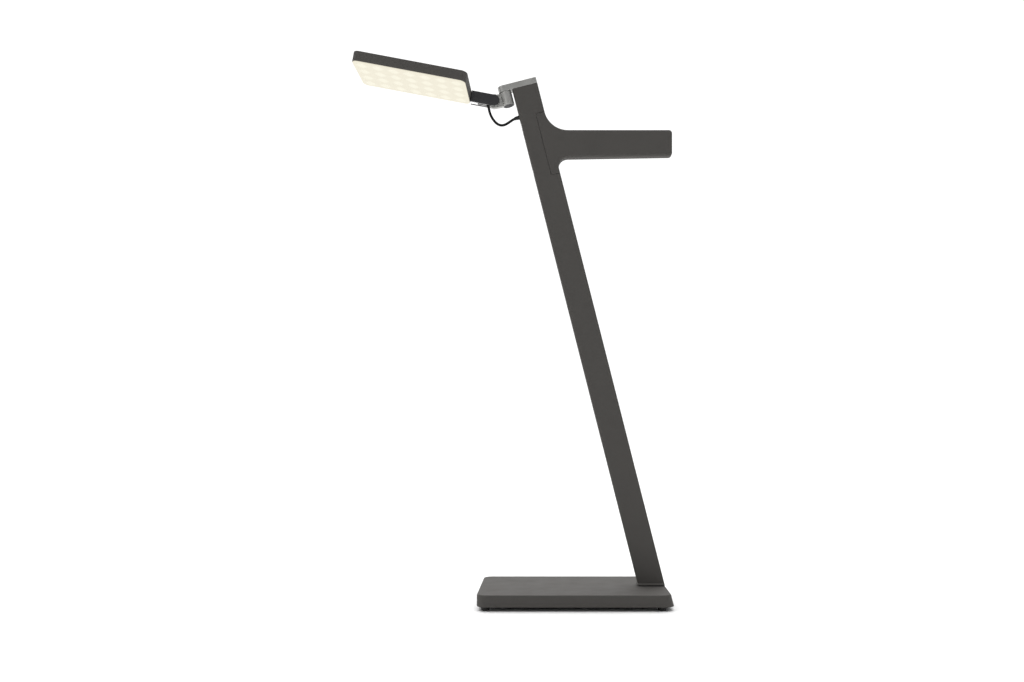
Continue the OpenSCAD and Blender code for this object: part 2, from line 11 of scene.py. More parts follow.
import bmesh
import bpy
import numpy as np
from bpy.props import FloatProperty, FloatVectorProperty, IntProperty, PointerProperty
from bpy.types import Operator, Panel, PropertyGroup
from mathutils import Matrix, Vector


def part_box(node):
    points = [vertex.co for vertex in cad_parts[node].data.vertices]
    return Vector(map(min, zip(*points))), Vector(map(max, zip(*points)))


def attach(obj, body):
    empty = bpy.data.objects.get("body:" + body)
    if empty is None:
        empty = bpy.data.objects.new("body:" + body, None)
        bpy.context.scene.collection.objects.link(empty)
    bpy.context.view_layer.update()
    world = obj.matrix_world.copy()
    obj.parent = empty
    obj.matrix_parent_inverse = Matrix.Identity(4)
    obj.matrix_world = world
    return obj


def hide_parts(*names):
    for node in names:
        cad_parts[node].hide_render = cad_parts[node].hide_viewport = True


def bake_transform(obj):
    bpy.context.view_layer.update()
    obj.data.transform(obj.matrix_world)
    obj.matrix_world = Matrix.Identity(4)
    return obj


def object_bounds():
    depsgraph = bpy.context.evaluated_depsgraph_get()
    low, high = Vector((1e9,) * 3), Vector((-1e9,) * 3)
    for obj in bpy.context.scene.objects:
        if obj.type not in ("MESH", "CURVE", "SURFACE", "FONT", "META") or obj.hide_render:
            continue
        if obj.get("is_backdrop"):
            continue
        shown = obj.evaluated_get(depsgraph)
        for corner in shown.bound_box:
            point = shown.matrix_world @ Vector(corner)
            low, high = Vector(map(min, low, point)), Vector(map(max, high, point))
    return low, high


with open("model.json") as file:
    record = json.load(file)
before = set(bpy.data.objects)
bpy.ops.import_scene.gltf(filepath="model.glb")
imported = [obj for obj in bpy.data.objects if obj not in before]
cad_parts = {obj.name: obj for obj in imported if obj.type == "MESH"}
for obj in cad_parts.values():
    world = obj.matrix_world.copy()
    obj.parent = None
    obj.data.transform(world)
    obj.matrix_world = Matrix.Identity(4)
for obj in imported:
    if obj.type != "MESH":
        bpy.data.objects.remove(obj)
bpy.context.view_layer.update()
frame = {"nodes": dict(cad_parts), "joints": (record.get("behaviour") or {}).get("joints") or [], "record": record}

bl_info = {
    "name": "Cordless reading lamp",
    "version": (1, 0, 0),
    "blender": (4, 5, 0),
    "location": "3D View > Sidebar > Lamp",
    "description": "Builds the visible pieces of a cordless reading lamp round its frame",
    "category": "Add Mesh",
}

MM = 0.001

# ---- what the frame says ----


def corners(node):
    """Every vertex of a CAD node, one row each."""
    mesh = frame["nodes"][node].data
    found = np.zeros(len(mesh.vertices) * 3)
    mesh.vertices.foreach_get("co", found)
    return found.reshape(-1, 3)


def reach(node, axis, inside=None):
    """The least and greatest distance of a node's vertices along an axis."""
    points = corners(node)
    if inside is not None:
        points = points[inside(points)]
    along = points @ axis
    return float(along.min()), float(along.max())


def facing(node):
    """The normal of a node's largest face, turned to point up."""
    mesh = frame["nodes"][node].data
    area, normal = np.zeros(len(mesh.polygons)), np.zeros(len(mesh.polygons) * 3)
    mesh.polygons.foreach_get("area", area)
    mesh.polygons.foreach_get("normal", normal)
    found = normal.reshape(-1, 3)[area.argmax()]
    return found / np.linalg.norm(found) * np.sign(found[2])


JOINTS = {joint["name"]: joint for joint in frame["joints"]}
SLOT = {part["node"]: part["material_slot"] for part in frame["record"]["subparts"]}
EX, ACROSS, EZ = np.eye(3)
UP = np.array(JOINTS["head_swivel"]["axis"], float)
OUT = np.cross(ACROSS, UP)
SWIVEL = np.array(JOINTS["head_swivel"]["pos_m"], float)
TILT = np.array(JOINTS["head_tilt"]["pos_m"], float)
HEAD_UP = facing("lens_plate")
HEAD_ALONG = np.cross(ACROSS, HEAD_UP)
MAST_FRONT, MAST_BACK = reach("mast_tube", OUT)
MAST_TOP = reach("mast_tube", UP)[1]
HALF = reach("mast_tube", ACROSS)[1]
MAST_SIDE = (OUT, UP, ACROSS)
MAST_PLAN = (OUT, ACROSS, UP)
PLAN = (EX, ACROSS, EZ)
SIDE = (EX, EZ, ACROSS)
HEAD_PLAN = (HEAD_ALONG, ACROSS, HEAD_UP)
HEAD_SIDE = (HEAD_ALONG, HEAD_UP, ACROSS)


def place(axes, u, v, w):
    """Points at u, v and w along three directions."""
    return sum(np.asarray(part)[..., None] * axis for part, axis in zip((u, v, w), axes))


# ---- outlines and profiles ----


def arc(centre, radius, start, end, steps=12):
    """Points round part of a circle: the centre plus the radius times the cosine and sine
    of evenly spaced angles, in degrees."""
    turn = np.radians(np.linspace(start, end, steps + 1))
    return np.asarray(centre) + radius * np.stack([np.cos(turn), np.sin(turn)], -1)


def rounded_box(low, high, radius, steps=12):
    """The outline of a rectangle whose four corners are quarter circles."""
    (x0, y0), (x1, y1), r = low, high, radius
    return np.concatenate([
        arc((x1 - r, y0 + r), r, -90, 0, steps), arc((x1 - r, y1 - r), r, 0, 90, steps),
        arc((x0 + r, y1 - r), r, 90, 180, steps), arc((x0 + r, y0 + r), r, 180, 270, steps)])


def soften(points, radius, steps=5, closed=False):
    """Each corner of a polyline becomes a parabola: it leaves the line one radius before
    the corner, is drawn towards the corner, and meets the line one radius after it."""
    points = np.asarray(points, float)
    radius = np.broadcast_to(np.asarray(radius, float), len(points))[:, None, None]
    before, after = np.roll(points, 1, 0) - points, np.roll(points, -1, 0) - points
    before /= np.linalg.norm(before, axis=1)[:, None]
    after /= np.linalg.norm(after, axis=1)[:, None]
    t = np.linspace(0, 1, steps + 1)[None, :, None]
    curve = (points[:, None] + radius * before[:, None] * (1 - t) ** 2
             + radius * after[:, None] * t ** 2)
    if closed:
        return curve.reshape(-1, 2)
    return np.concatenate([points[:1], curve[1:-1].reshape(-1, 2), points[-1:]])


def turning(points):
    """For a closed outline: each side's inward normal, and the cosine between each side's
    normal and the one before it."""
    step = np.roll(points, -1, 0) - points
    area = (points[:, 0] * np.roll(points[:, 1], -1)
            - points[:, 1] * np.roll(points[:, 0], -1)).sum()
    step /= np.linalg.norm(step, axis=1)[:, None]
    normal = np.stack([-step[:, 1], step[:, 0]], -1) * np.sign(area)
    return normal, (normal * np.roll(normal, 1, 0)).sum(1)


# Two sides whose cosine is below EASY meet at a corner; above it they are one curve.
EASY = math.cos(math.radians(50))
# How far the points that keep a flat stretch flat stand from the rounding beside it.
GUARD = 0.25 * MM
# The clearance round a pin or a cable, and how far a screw's face lies under the surface.
PLAY, SUNK = 0.05 * MM, 0.02 * MM
# The radius of a turned profile's ends, which leave a small flat face on the axis.
TIP = 0.2 * MM
# Two heights closer than this are the same.
SAME = 1e-6


def guarded(points, edge):
    """Adds a point close to each end of every long side, so that flat stretches shade flat.
    Each stands beyond the reach of the corner's own rounding along that side."""
    edge = np.broadcast_to(np.asarray(edge, float), len(points))
    move, _ = inward(points, edge)
    step = np.roll(points, -1, 0) - points
    length = np.linalg.norm(step, axis=1)
    step = step / length[:, None]
    first = 2 * GUARD + np.maximum((move * step).sum(1), 0)
    last = 2 * GUARD + np.maximum(-(np.roll(move, -1, 0) * step).sum(1), 0)
    long = (length > first + last + 4 * GUARD) & (edge > 0)
    rows = np.stack([points, points + first[:, None] * step,
                     np.roll(points, -1, 0) - last[:, None] * step], 1)
    keep = np.stack([np.ones_like(long), long, long], 1)
    return rows[keep], np.repeat(edge[:, None], 3, 1)[keep]


def inward(points, edge):
    """How far each point of an outline moves so that both its sides move in by their own
    edge radius: along the mitre where the sides nearly line up, and to where the two moved
    sides cross at a corner. Also the radius that the point's own rounding has."""
    after, turn = turning(points)
    before, edge_before = np.roll(after, 1, 0), np.roll(edge, 1)
    mitre = (before + after) / (1 + turn)[:, None] * ((edge + edge_before) / 2)[:, None]
    cross = before[:, 0] * after[:, 1] - before[:, 1] * after[:, 0]
    cross = np.where(np.abs(cross) < 1e-9, 1, cross)
    meet = (edge_before[:, None] * np.stack([after[:, 1], -after[:, 0]], -1)
            - edge[:, None] * np.stack([before[:, 1], -before[:, 0]], -1)) / cross[:, None]
    corner = turn < EASY
    return (np.where(corner[:, None], meet, mitre),
            np.where(corner, np.maximum(edge, edge_before), (edge + edge_before) / 2))


def rounded_rings(points, edge, low, high, low_share=1.0, wall=0.0, roof=0.0, steps=8):
    """The rings of a plate whose edges are quarter circles. Ring by ring the outline comes
    out by one minus the sine of an angle as it rises by one minus its cosine, runs up the
    wall, and goes in the same way at the top. With a wall, the plate is open underneath: an
    inner skin goes up to the roof. Returns the outlines and the heights, ring by point."""
    points, edge = guarded(np.asarray(points, float), edge)
    move, radius = inward(points, edge)
    angle = np.linspace(0, math.pi / 2, steps + 1)
    beyond = GUARD / radius
    flat = np.ones(len(points))
    share, height = [], []
    if wall:
        inner = wall / radius
        share += [inner + beyond, inner, inner, inner, inner]
        height += [roof * flat, roof * flat, (roof - GUARD) * flat, (low + GUARD) * flat,
                   low * flat]
    else:
        share += [low_share + beyond]
        height += [low * flat]
    share += [low_share * (1 - math.sin(a)) * flat for a in angle] + [0 * flat, 0 * flat]
    height += [low + low_share * radius * (1 - math.cos(a)) for a in angle]
    height += [low + low_share * radius + GUARD, high - radius - GUARD]
    share += [(1 - math.cos(a)) * flat for a in angle] + [1 + beyond]
    height += [high - radius * (1 - math.sin(a)) for a in angle] + [high * flat]
    share, height = np.array(share), np.array(height)
    return points[None] + share[..., None] * move[None], height


def plate(axes, points, edge, low, high, **how):
    """A rounded plate's rings, placed along three directions."""
    outline, height = rounded_rings(points, edge, low, high, **how)
    return place(axes, outline[..., 0], outline[..., 1], height)


def turned(centre, axis, profile, around=64, flats=0):
    """A profile of radius and height, turned about an axis. With flats, rings marked by a
    negative radius are polygons: their radius is the distance to a side, divided by the
    cosine of the angle from that side's middle."""
    axis = np.asarray(axis, float)
    side = np.cross(axis, ACROSS) if abs(axis @ ACROSS) < 0.9 else np.cross(axis, EX)
    side /= np.linalg.norm(side)
    other = np.cross(axis, side)
    turn = np.linspace(0, 2 * math.pi, around, endpoint=False)
    radius = np.repeat(np.asarray(profile, float)[:, :1], around, 1)
    if flats:
        part = 2 * math.pi / flats
        square = 1 / np.cos((turn + part / 2) % part - part / 2)
        radius = np.where(radius < 0, -radius * square, radius)
    height = np.asarray(profile, float)[:, 1]
    return (np.asarray(centre) + radius[..., None] * (np.cos(turn)[:, None] * side
            + np.sin(turn)[:, None] * other) + height[:, None, None] * axis)


# ---- making a piece ----


def skin(rings, loop=False, start=0):
    """Faces between rings of points, with each end closed by one flat face, or with the
    last ring joined to the first."""
    count, around = rings.shape[:2]
    row = np.arange(count if loop else count - 1)[:, None]
    column = np.arange(around)[None]
    here, there = row * around, (row + 1) % count * around
    right = (column + 1) % around
    quads = np.stack([here + column, here + right, there + right, there + column], -1)
    faces = (quads.reshape(-1, 4) + start).tolist()
    if not loop:
        faces += [(column[0][::-1] + start).tolist(),
                  (column[0] + start + (count - 1) * around).tolist()]
    return faces


def added(name, data):
    """A new object in the scene."""
    made = bpy.data.objects.new(name, data)
    bpy.context.scene.collection.objects.link(made)
    return made


def gathered(shells, loop=False):
    """The points and faces of several closed shells of rings."""
    points, faces, start = [], [], 0
    for rings in shells:
        faces += skin(rings, loop, start)
        points.append(rings.reshape(-1, 3))
        start += len(points[-1])
    return np.concatenate(points), faces


def built(name, points, faces):
    """One object from points and faces, faces outwards."""
    mesh = bpy.data.meshes.new(name)
    mesh.from_pydata(points.tolist(), [], faces)
    outwards(mesh)
    return added(name, mesh)


def solid(name, shells, loop=False):
    """One object from closed shells of rings."""
    return built(name, *gathered(shells, loop))


def outwards(mesh):
    """Turns every face of a closed mesh to point out of it."""
    work = bmesh.new()
    work.from_mesh(mesh)
    bmesh.ops.recalc_face_normals(work, faces=work.faces)
    work.to_mesh(mesh)
    work.free()


def cut(piece, tool, operation="DIFFERENCE"):
    """Takes one solid out of another, or joins them, and removes the tool."""
    change = piece.modifiers.new("cut", "BOOLEAN")
    change.object, change.operation, change.solver = tool, operation, "MANIFOLD"
    graph = bpy.context.evaluated_depsgraph_get()
    result = bpy.data.meshes.new_from_object(piece.evaluated_get(graph))
    piece.modifiers.clear()
    old, piece.data = piece.data, result
    bpy.data.meshes.remove(old)
    bpy.data.objects.remove(tool)
    if not len(result.polygons):
        raise RuntimeError(f"{piece.name}: nothing was left after a cut")
    return piece


def finished(piece, body, *nodes, slot=None, sharp=35):
    """Smooth shading up to an angle, the slot's material and the body it rides on; hides the
    CAD nodes it stands for."""
    mesh = piece.data
    mesh.polygons.foreach_set("use_smooth", np.ones(len(mesh.polygons), bool))
    mesh.set_sharp_from_angle(angle=math.radians(sharp))
    slot = slot or SLOT[nodes[0]]
    mesh.materials.clear()
    mesh.materials.append(material(slot))
    if body:
        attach(piece, body)
    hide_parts(*nodes)
    return piece


# ---- materials ----


class Finish:
    """One procedural material: a shader and the patterns that feed it. Patterns read object
    coordinates, so their scales are in waves to the metre."""

    def __init__(self, name, **values):
        self.material = bpy.data.materials.new(name)
        self.material.use_nodes = True
        self.tree = self.material.node_tree
        self.shader = self.tree.nodes["Principled BSDF"]
        self.where = self.tree.nodes.new("ShaderNodeTexCoord").outputs["Object"]
        for socket, value in values.items():
            self.shader.inputs[socket.replace("_", " ")].default_value = value

    def add(self, kind, inputs=None, **settings):
        """A node with its settings, its inputs linked or given a value."""
        node = self.tree.nodes.new(kind)
        for name, value in settings.items():
            setattr(node, name, value)
        for name, value in (inputs or {}).items():
            if isinstance(value, bpy.types.NodeSocket):
                self.tree.links.new(value, node.inputs[name])
            else:
                node.inputs[name].default_value = value
        return node

    def noise(self, scale, detail=2.0, stretch=(1, 1, 1)):
        """Soft random patches, drawn out along an axis where stretch is below 1."""
        where = self.where
        if stretch != (1, 1, 1):
            where = self.add("ShaderNodeMapping", {"Vector": where, "Scale": stretch}).outputs[0]
        made = self.add("ShaderNodeTexNoise", {"Vector": where, "Scale": scale,
                                               "Detail": detail})
        return made.outputs["Fac"]

    def between(self, pattern, low, high, ease=(0.3, 0.7)):
        """A number, or a colour, that goes from low to high with the pattern."""
        if np.ndim(low):
            ramp = self.add("ShaderNodeValToRGB", {"Fac": pattern})
            for stop, at, colour in zip(ramp.color_ramp.elements, ease, (low, high)):
                stop.position, stop.color = at, (*colour[:3], 1)
            return ramp.outputs["Color"]
        spread = self.add("ShaderNodeMapRange", {"Value": pattern, "From Min": ease[0],
                                                 "From Max": ease[1], "To Min": low,
                                                 "To Max": high})
        return spread.outputs["Result"]

    def feed(self, socket, output):
        """Links an output to the shader."""
        self.tree.links.new(output, self.shader.inputs[socket])
        return self

    def bump(self, pattern, depth):
        """Surface relief of a given depth in metres."""
        relief = self.add("ShaderNodeBump", {"Height": pattern, "Distance": depth})
        return self.feed("Normal", relief.outputs["Normal"])


def shaded(colour, share):
    """A colour, lighter or darker by a share."""
    return tuple(min(1.0, channel * share) for channel in colour[:3])


def grained(name, colour, spread, grain, depth, roughness, **values):
    """A finish whose colour, roughness and relief all follow a fine grain, with a broad and
    very faint unevenness over it."""
    made = Finish(name, **values)
    fine, broad = made.noise(grain), made.noise(grain / 40, 1.0)
    both = made.add("ShaderNodeMath", {0: fine, 1: broad}, operation="ADD").outputs[0]
    made.feed("Base Color", made.between(both, shaded(colour, 1 - spread),
                                         shaded(colour, 1 + spread), (0.6, 1.0)))
    made.feed("Roughness", made.between(both, roughness[0], roughness[1], (0.7, 1.3)))
    return made.bump(fine, depth)


def drawn_metal(name, colour, roughness, stretch):
    """Metal with fine lines drawn along one direction."""
    made = Finish(name, Metallic=1.0)
    lines = made.noise(2600, 3.0, stretch)
    made.feed("Base Color", made.between(lines, shaded(colour, 0.88), shaded(colour, 1.08)))
    made.feed("Roughness", made.between(lines, roughness[0], roughness[1]))
    return made.bump(lines, 0.004 * MM)


def circuit(name, colour, trace):
    """A circuit board: solder mask with a faint net of tracks under it."""
    made = Finish(name, Coat_Weight=0.3, Coat_Roughness=0.2)
    net = made.add("ShaderNodeTexBrick", {"Vector": made.where, "Scale": 260.0,
                                          "Mortar Size": 0.06, "Color1": (*colour, 1),
                                          "Color2": (*shaded(colour, 0.86), 1),
                                          "Mortar": (*trace, 1)})
    made.feed("Base Color", net.outputs["Color"])
    made.feed("Roughness", made.between(made.noise(900), 0.35, 0.5))
    return made.bump(net.outputs["Fac"], 0.02 * MM)


def glow(name, colour, between):
    """The lens: light that is strongest over each diode and a little weaker between them.
    The UV map counts diodes, so the pattern is the cosine of each coordinate."""
    made = Finish(name, Roughness=0.5, IOR=1.49, Specular_IOR_Level=0.2)
    uv = made.add("ShaderNodeUVMap", uv_map="diodes").outputs["UV"]
    split = made.add("ShaderNodeSeparateXYZ", {"Vector": uv})
    waves = []
    for axis in ("X", "Y"):
        turn = made.add("ShaderNodeMath", {0: split.outputs[axis], 1: 2 * math.pi},
                        operation="MULTIPLY").outputs[0]
        waves.append(made.add("ShaderNodeMath", {0: turn}, operation="COSINE").outputs[0])
    both = made.add("ShaderNodeMath", {0: waves[0], 1: waves[1]}, operation="ADD").outputs[0]
    made.feed("Emission Color", made.between(both, between, colour, (-1.6, 1.8)))
    made.feed("Base Color", made.between(both, shaded(between, 0.1), shaded(colour, 0.1),
                                         (-1.6, 1.8)))
    made.shader.inputs["Emission Strength"].default_value = 0.80
    return made.bump(made.noise(2400), 0.004 * MM)


def phosphor(name, colour):
    """A diode's phosphor: lit, and a little uneven."""
    made = Finish(name, Roughness=0.4)
    patch = made.noise(700)
    made.feed("Base Color", made.between(patch, shaded(colour, 0.85), colour))
    made.feed("Emission Color", made.between(patch, shaded(colour, 0.9), colour))
    made.shader.inputs["Emission Strength"].default_value = 1.5
    return made


def jacket(name, colour):
    """A cable's jacket: smooth, with faint rings left by its making, counted along it."""
    made = Finish(name, Specular_IOR_Level=0.15)
    along = made.add("ShaderNodeAttribute", attribute_name="along").outputs["Fac"]
    turn = made.add("ShaderNodeMath", {0: along, 1: 2 * math.pi / (0.4 * MM)},
                    operation="MULTIPLY").outputs[0]
    rings = made.add("ShaderNodeMath", {0: turn}, operation="SINE").outputs[0]
    patch = made.noise(600)
    made.feed("Base Color", made.between(patch, shaded(colour, 0.8), shaded(colour, 1.2)))
    made.feed("Roughness", made.between(patch, 0.42, 0.55))
    return made.bump(rings, 0.006 * MM)


def make_finish(slot):
    """A slot's own recipe, with the colours that the user sets."""
    look = bpy.context.scene.lamp_looks
    paint, neck, fork = tuple(look.paint), tuple(look.neck), tuple(look.fork)
    black, rubber, lit = tuple(look.plastic), tuple(look.rubber), tuple(look.lens)
    recipes = {
        "lamp_paint": lambda n: grained(n, paint, 0.07, 2400, 0.012 * MM, (0.66, 0.80),
                                        Specular_IOR_Level=0.3),
        "neck_metal": lambda n: grained(n, neck, 0.06, 3800, 0.010 * MM, (0.36, 0.48),
                                        Metallic=0.75),
        "fork_metal": lambda n: drawn_metal(n, fork, (0.26, 0.38), (0.08, 1, 1)),
        "black_plastic": lambda n: grained(n, black, 0.12, 3000, 0.015 * MM, (0.52, 0.64),
                                           Specular_IOR_Level=0.3),
        "black_rubber": lambda n: grained(n, rubber, 0.15, 1800, 0.02 * MM, (0.62, 0.78)),
        "cable_jacket": lambda n: jacket(n, tuple(look.jacket)),
        "lens_plastic": lambda n: glow(n, lit, tuple(look.lens_between)),
        "steel": lambda n: drawn_metal(n, (0.56, 0.56, 0.57), (0.2, 0.34), (1, 0.1, 1)),
        "aluminium": lambda n: drawn_metal(n, (0.66, 0.66, 0.67), (0.28, 0.42), (0.1, 1, 1)),
        "board": lambda n: circuit(n, (0.04, 0.16, 0.07), (0.09, 0.27, 0.12)),
        "white_board": lambda n: circuit(n, (0.80, 0.80, 0.78), (0.62, 0.62, 0.60)),
        "led": lambda n: phosphor(n, (0.95, 0.80, 0.35)),
        "battery_wrap": lambda n: grained(n, (0.45, 0.43, 0.36), 0.1, 500, 0.05 * MM,
                                          (0.3, 0.5), Metallic=0.4),
        "copper": lambda n: drawn_metal(n, (0.72, 0.34, 0.20), (0.25, 0.4), (1, 0.15, 1)),
    }
    if slot not in recipes:
        raise RuntimeError(f"there is no finish for the slot {slot}")
    return recipes[slot](f"{slot}_finish").material


FINISHES = {}


def material(slot):
    """The finish of a slot, made once."""
    if slot not in FINISHES:
        FINISHES[slot] = make_finish(slot)
    return FINISHES[slot]


# ---- the pieces ----


def back_at(height):
    """X of the mast's back at a height."""
    return (MAST_BACK - height * OUT[2]) / OUT[0]


def screw(centre, axis, head, size):
    """A flat-head screw with a hexagon socket: shank, cone, a small bevel and a flat face,
    then six walls down to the socket's floor. Its face is at the centre given."""
    shank, depth, length = size.shank / 2, size.cone, size.length
    bevel, point, socket = 0.12 * MM, 0.4 * MM, -size.socket / 2
    profile = [(shank * 0.7, -length), (shank, -length + point), (shank, -depth),
               (head / 2, -bevel), (head / 2 - bevel, 0), (socket * 1.12, 0),
               (socket, -bevel), (socket, -size.socket_depth),
               (socket * 0.5, -size.socket_depth * 1.15)]
    return turned(centre, axis, profile, 48, flats=6)


def countersink(centre, axis, head, depth):
    """A cone that opens outwards, for the seat of a flat-head screw."""
    bore, deep = 1.6 * MM, 8 * MM
    slope = (head / 2 - bore) / depth
    profile = [(bore, -deep), (bore, -depth), (head / 2 + slope * MM, MM)]
    return solid("seat", [turned(centre, axis, profile, 48)])


def make_base(size):
    """The cover: a rounded slab, hollow underneath. The rear end leans with the mast, so
    there each ring shifts back as it goes down."""
    low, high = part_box("base_cover")
    lean = OUT[2] / OUT[0]
    back = back_at(high.z)
    outline = rounded_box((low.x, low.y), (back, high.y), size.corner, 16)
    flat, height = rounded_rings(outline, size.edge, low.z, high.z, low_share=0.4,
                                 wall=size.wall, roof=high.z - size.wall)
    rear = np.clip((flat[..., 0] - low.x) / (back - low.x) * 2 - 1, 0, 1)
    shift = rear * (high.z - height) * lean
    rings = place(PLAN, flat[..., 0] + shift, flat[..., 1], height)
    finished(solid("base_cover_slab", [rings]), "lamp_stand", "base_cover")

    low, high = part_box("feet")
    r = size.foot / 2
    hollow = 0.5 * MM
    profile = soften([(TIP, hollow), (r * 0.5, hollow), (r * 0.62, 0), (r * 0.84, 0),
                      (r, 0.8 * MM), (r, high.z), (TIP, high.z)],
                     [0, 0.4 * MM, 0.2 * MM, 0.3 * MM, 0.3 * MM, 0.05 * MM, 0])
    shells = [turned((x, y, 0), EZ, profile, 48)
              for x in (low.x + r, high.x - r) for y in (low.y + r, high.y - r)]
    finished(solid("rubber_feet", shells), "lamp_stand", "feet")

    points = corners("base_screws")
    low, high = points.min(0), points.max(0)
    r = size.screw_head / 2
    shells = [screw((x, y, low[2]), -EZ, size.screw_head, bpy.context.scene.lamp_screws)
              for x in (low[0] + r, high[0] - r) for y in (low[1] + r, high[1] - r)]
    finished(solid("base_screw_heads", shells), "lamp_stand", "base_screws")


def make_collar(size):
    """The bevelled collar at the mast's foot: level rounded rectangles that shrink from the
    base up to the mast's own section. The rear side stays in the plane of the mast's back."""
    low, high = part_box("mast_collar")
    length = (MAST_BACK - MAST_FRONT) / OUT[0]
    outline = rounded_box((-length, -HALF), (0, HALF), size.edge, 8)
    outline, _ = guarded(outline, size.edge)
    sides = np.sign(outline[:, 1]) * np.clip(np.abs(outline[:, 1]) / HALF * 1.3, 0, 1)
    front = -np.clip(1 - (outline[:, 0] + length) / size.edge, 0, 1)
    grow = np.stack([front, sides], -1)
    full, soft, brim, lip = size.collar, 0.25 * MM, 0.02 * MM, 0.06 * MM
    rise = high.z - low.z
    profile = soften([(full - soft, 0), (full, brim), (lip, rise - brim), (-soft, rise)],
                     [0, 0.15 * MM, 0.2 * MM, 0])
    profile = np.concatenate([[(full - 2 * soft, 0)], profile, [(-2 * soft, rise)]])
    flat = outline[None] + profile[:, :1, None] * grow[None]
    height = low.z + np.repeat(profile[:, 1:], len(outline), 1)
    x = flat[..., 0] + back_at(height)
    finished(solid("mast_foot_collar", [place(PLAN, x, flat[..., 1], height)]),
             "lamp_stand", "mast_collar")


def in_mast(points):
    """Which points lie in front of the mast's back."""
    return points @ OUT < MAST_BACK - MM


def make_mast(size):
    """The mast from the side: a long strip cut level at its foot and square at its top, with
    a pocket in its back for the handle's foot. Its long edges are rounded and its ends and
    the pocket are not, so each point moves in by its own sides' radii."""
    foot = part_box("mast_tube")[0].z
    deep, _ = reach("handle_shell", OUT)
    pocket = reach("handle_shell", UP, in_mast)
    lowest = [(foot - a * OUT[2]) / UP[2] for a in (MAST_FRONT, MAST_BACK)]
    gap = size.seam
    r = size.pocket_corner + gap
    deep, start, end = deep - gap, pocket[0] - gap, pocket[1] + gap
    outline = np.concatenate([
        [(MAST_FRONT, lowest[0]), (MAST_BACK, lowest[1]), (MAST_BACK, start)],
        arc((deep + r, start + r), r, 270, 180, 6), arc((deep + r, end - r), r, 180, 90, 6),
        [(MAST_BACK, end), (MAST_BACK, MAST_TOP), (MAST_FRONT, MAST_TOP)]])
    middle = (outline + np.roll(outline, -1, 0)) / 2
    level = np.abs(middle @ (OUT[2], UP[2]) - foot) < SAME
    edge = np.select(
        [level | (middle[:, 1] > MAST_TOP - SAME),
         (middle[:, 0] > MAST_BACK - SAME) | (middle[:, 0] < MAST_FRONT + SAME)],
        [0.0, size.edge], size.seam_edge)
    piece = solid("mast_strip", [plate(MAST_SIDE, outline, edge, -HALF, HALF)])
    for centre in handle_screw_places():
        cut(piece, countersink(centre, -OUT, size.screw_seat, size.seat_depth))
    finished(piece, "lamp_stand", "mast_tube")


def handle_screw_places():
    """Where the handle's two screws meet the mast's front."""
    low, high = reach("handle_screws", UP)
    r = bpy.context.scene.lamp_mast.screw_head / 2
    return [MAST_FRONT * OUT + along * UP for along in (low + r, high - r)]


def line_meet(p, along, q, other):
    """Where the line through p meets the line through q."""
    (p, along, q, other) = (np.asarray(v, float) for v in (p, along, q, other))
    cross = lambda a, b: a[0] * b[1] - a[1] * b[0]
    return p + along * cross(q - p, other) / cross(along, other)


def make_handle(size, mast):
    """The handle from the side: its foot in the mast, the sweep down onto the top edge, the
    rounded end, the sloping lower edge and the curve back into the mast. Its edges have the
    mast's radius where it leaves the mast, and grow rounder along the sweep."""
    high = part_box("handle_shell")[1]
    rear = 20 * MM
    top = reach("handle_shell", EZ, lambda points: points[:, 0] > high.x - rear)[1]
    start, end = reach("handle_shell", UP, in_mast)
    deep = reach("handle_shell", OUT)[0]
    lean = math.degrees(math.atan2(OUT[2], OUT[0]))
    to_world = lambda a, b: np.array([a * OUT[0] + b * UP[0], a * OUT[2] + b * UP[2]])
    out, up = OUT[[0, 2]], UP[[0, 2]]
    back = MAST_BACK * out
    slope = math.radians(size.taper)
    below = np.array([math.cos(slope), math.sin(slope)])
    down = np.array([math.sin(slope), -math.cos(slope)])
    corner = np.array([high.x, top - size.height])
    sweep = line_meet(back + size.sweep * out, up, (0, top + size.sweep), (1, 0))
    armpit = line_meet(back + size.armpit * out, up, corner + size.armpit * down, below)
    end_low = line_meet((high.x - size.end, 0), (0, 1), corner - size.end * down, below)
    r = mast.pocket_corner
    outline = np.concatenate([
        [to_world(MAST_BACK, start)],
        arc(to_world(deep + r, start + r), r, 270 + lean, 180 + lean, 6),
        arc(to_world(deep + r, end - r), r, 180 + lean, 90 + lean, 6),
        arc(sweep, size.sweep, 180 + lean, 270, 28),
        arc((high.x - size.end, top - size.end), size.end, 90, 0, 12),
        arc(end_low, size.end, 0, size.taper - 90, 12),
        arc(armpit, size.armpit, 90 + size.taper, 180 + lean, 20)])
    middle = (outline + np.roll(outline, -1, 0)) / 2
    clear = middle @ out - MAST_BACK
    growing = np.clip(clear / size.sweep, 0, 1)
    edge = np.where(clear < -0.05 * MM, mast.seam_edge,
                    mast.edge + (size.edge - mast.edge) * growing)
    piece = solid("handle_bar", [plate(SIDE, outline, edge, -HALF, HALF)])
    port_low, port_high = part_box("charge_port")
    gap, round_off, lip = 0.12 * MM, 0.01 * MM, 0.05 * MM
    slot_outline = rounded_box((port_low.y - gap, port_low.z - gap),
                               (port_high.y + gap, port_high.z + gap),
                               port_high.y + gap - round_off)
    cut(piece, solid("slot", [plate((ACROSS, EZ, EX), slot_outline, lip,
                                    port_low.x - gap, high.x + 2 * MM)]))
    finished(piece, "lamp_stand", "handle_shell")

    shells = [screw(centre + SUNK * OUT, -OUT, mast.screw_head,
                    bpy.context.scene.lamp_screws) for centre in handle_screw_places()]
    finished(solid("handle_screw_heads", shells), "lamp_stand", "handle_screws")


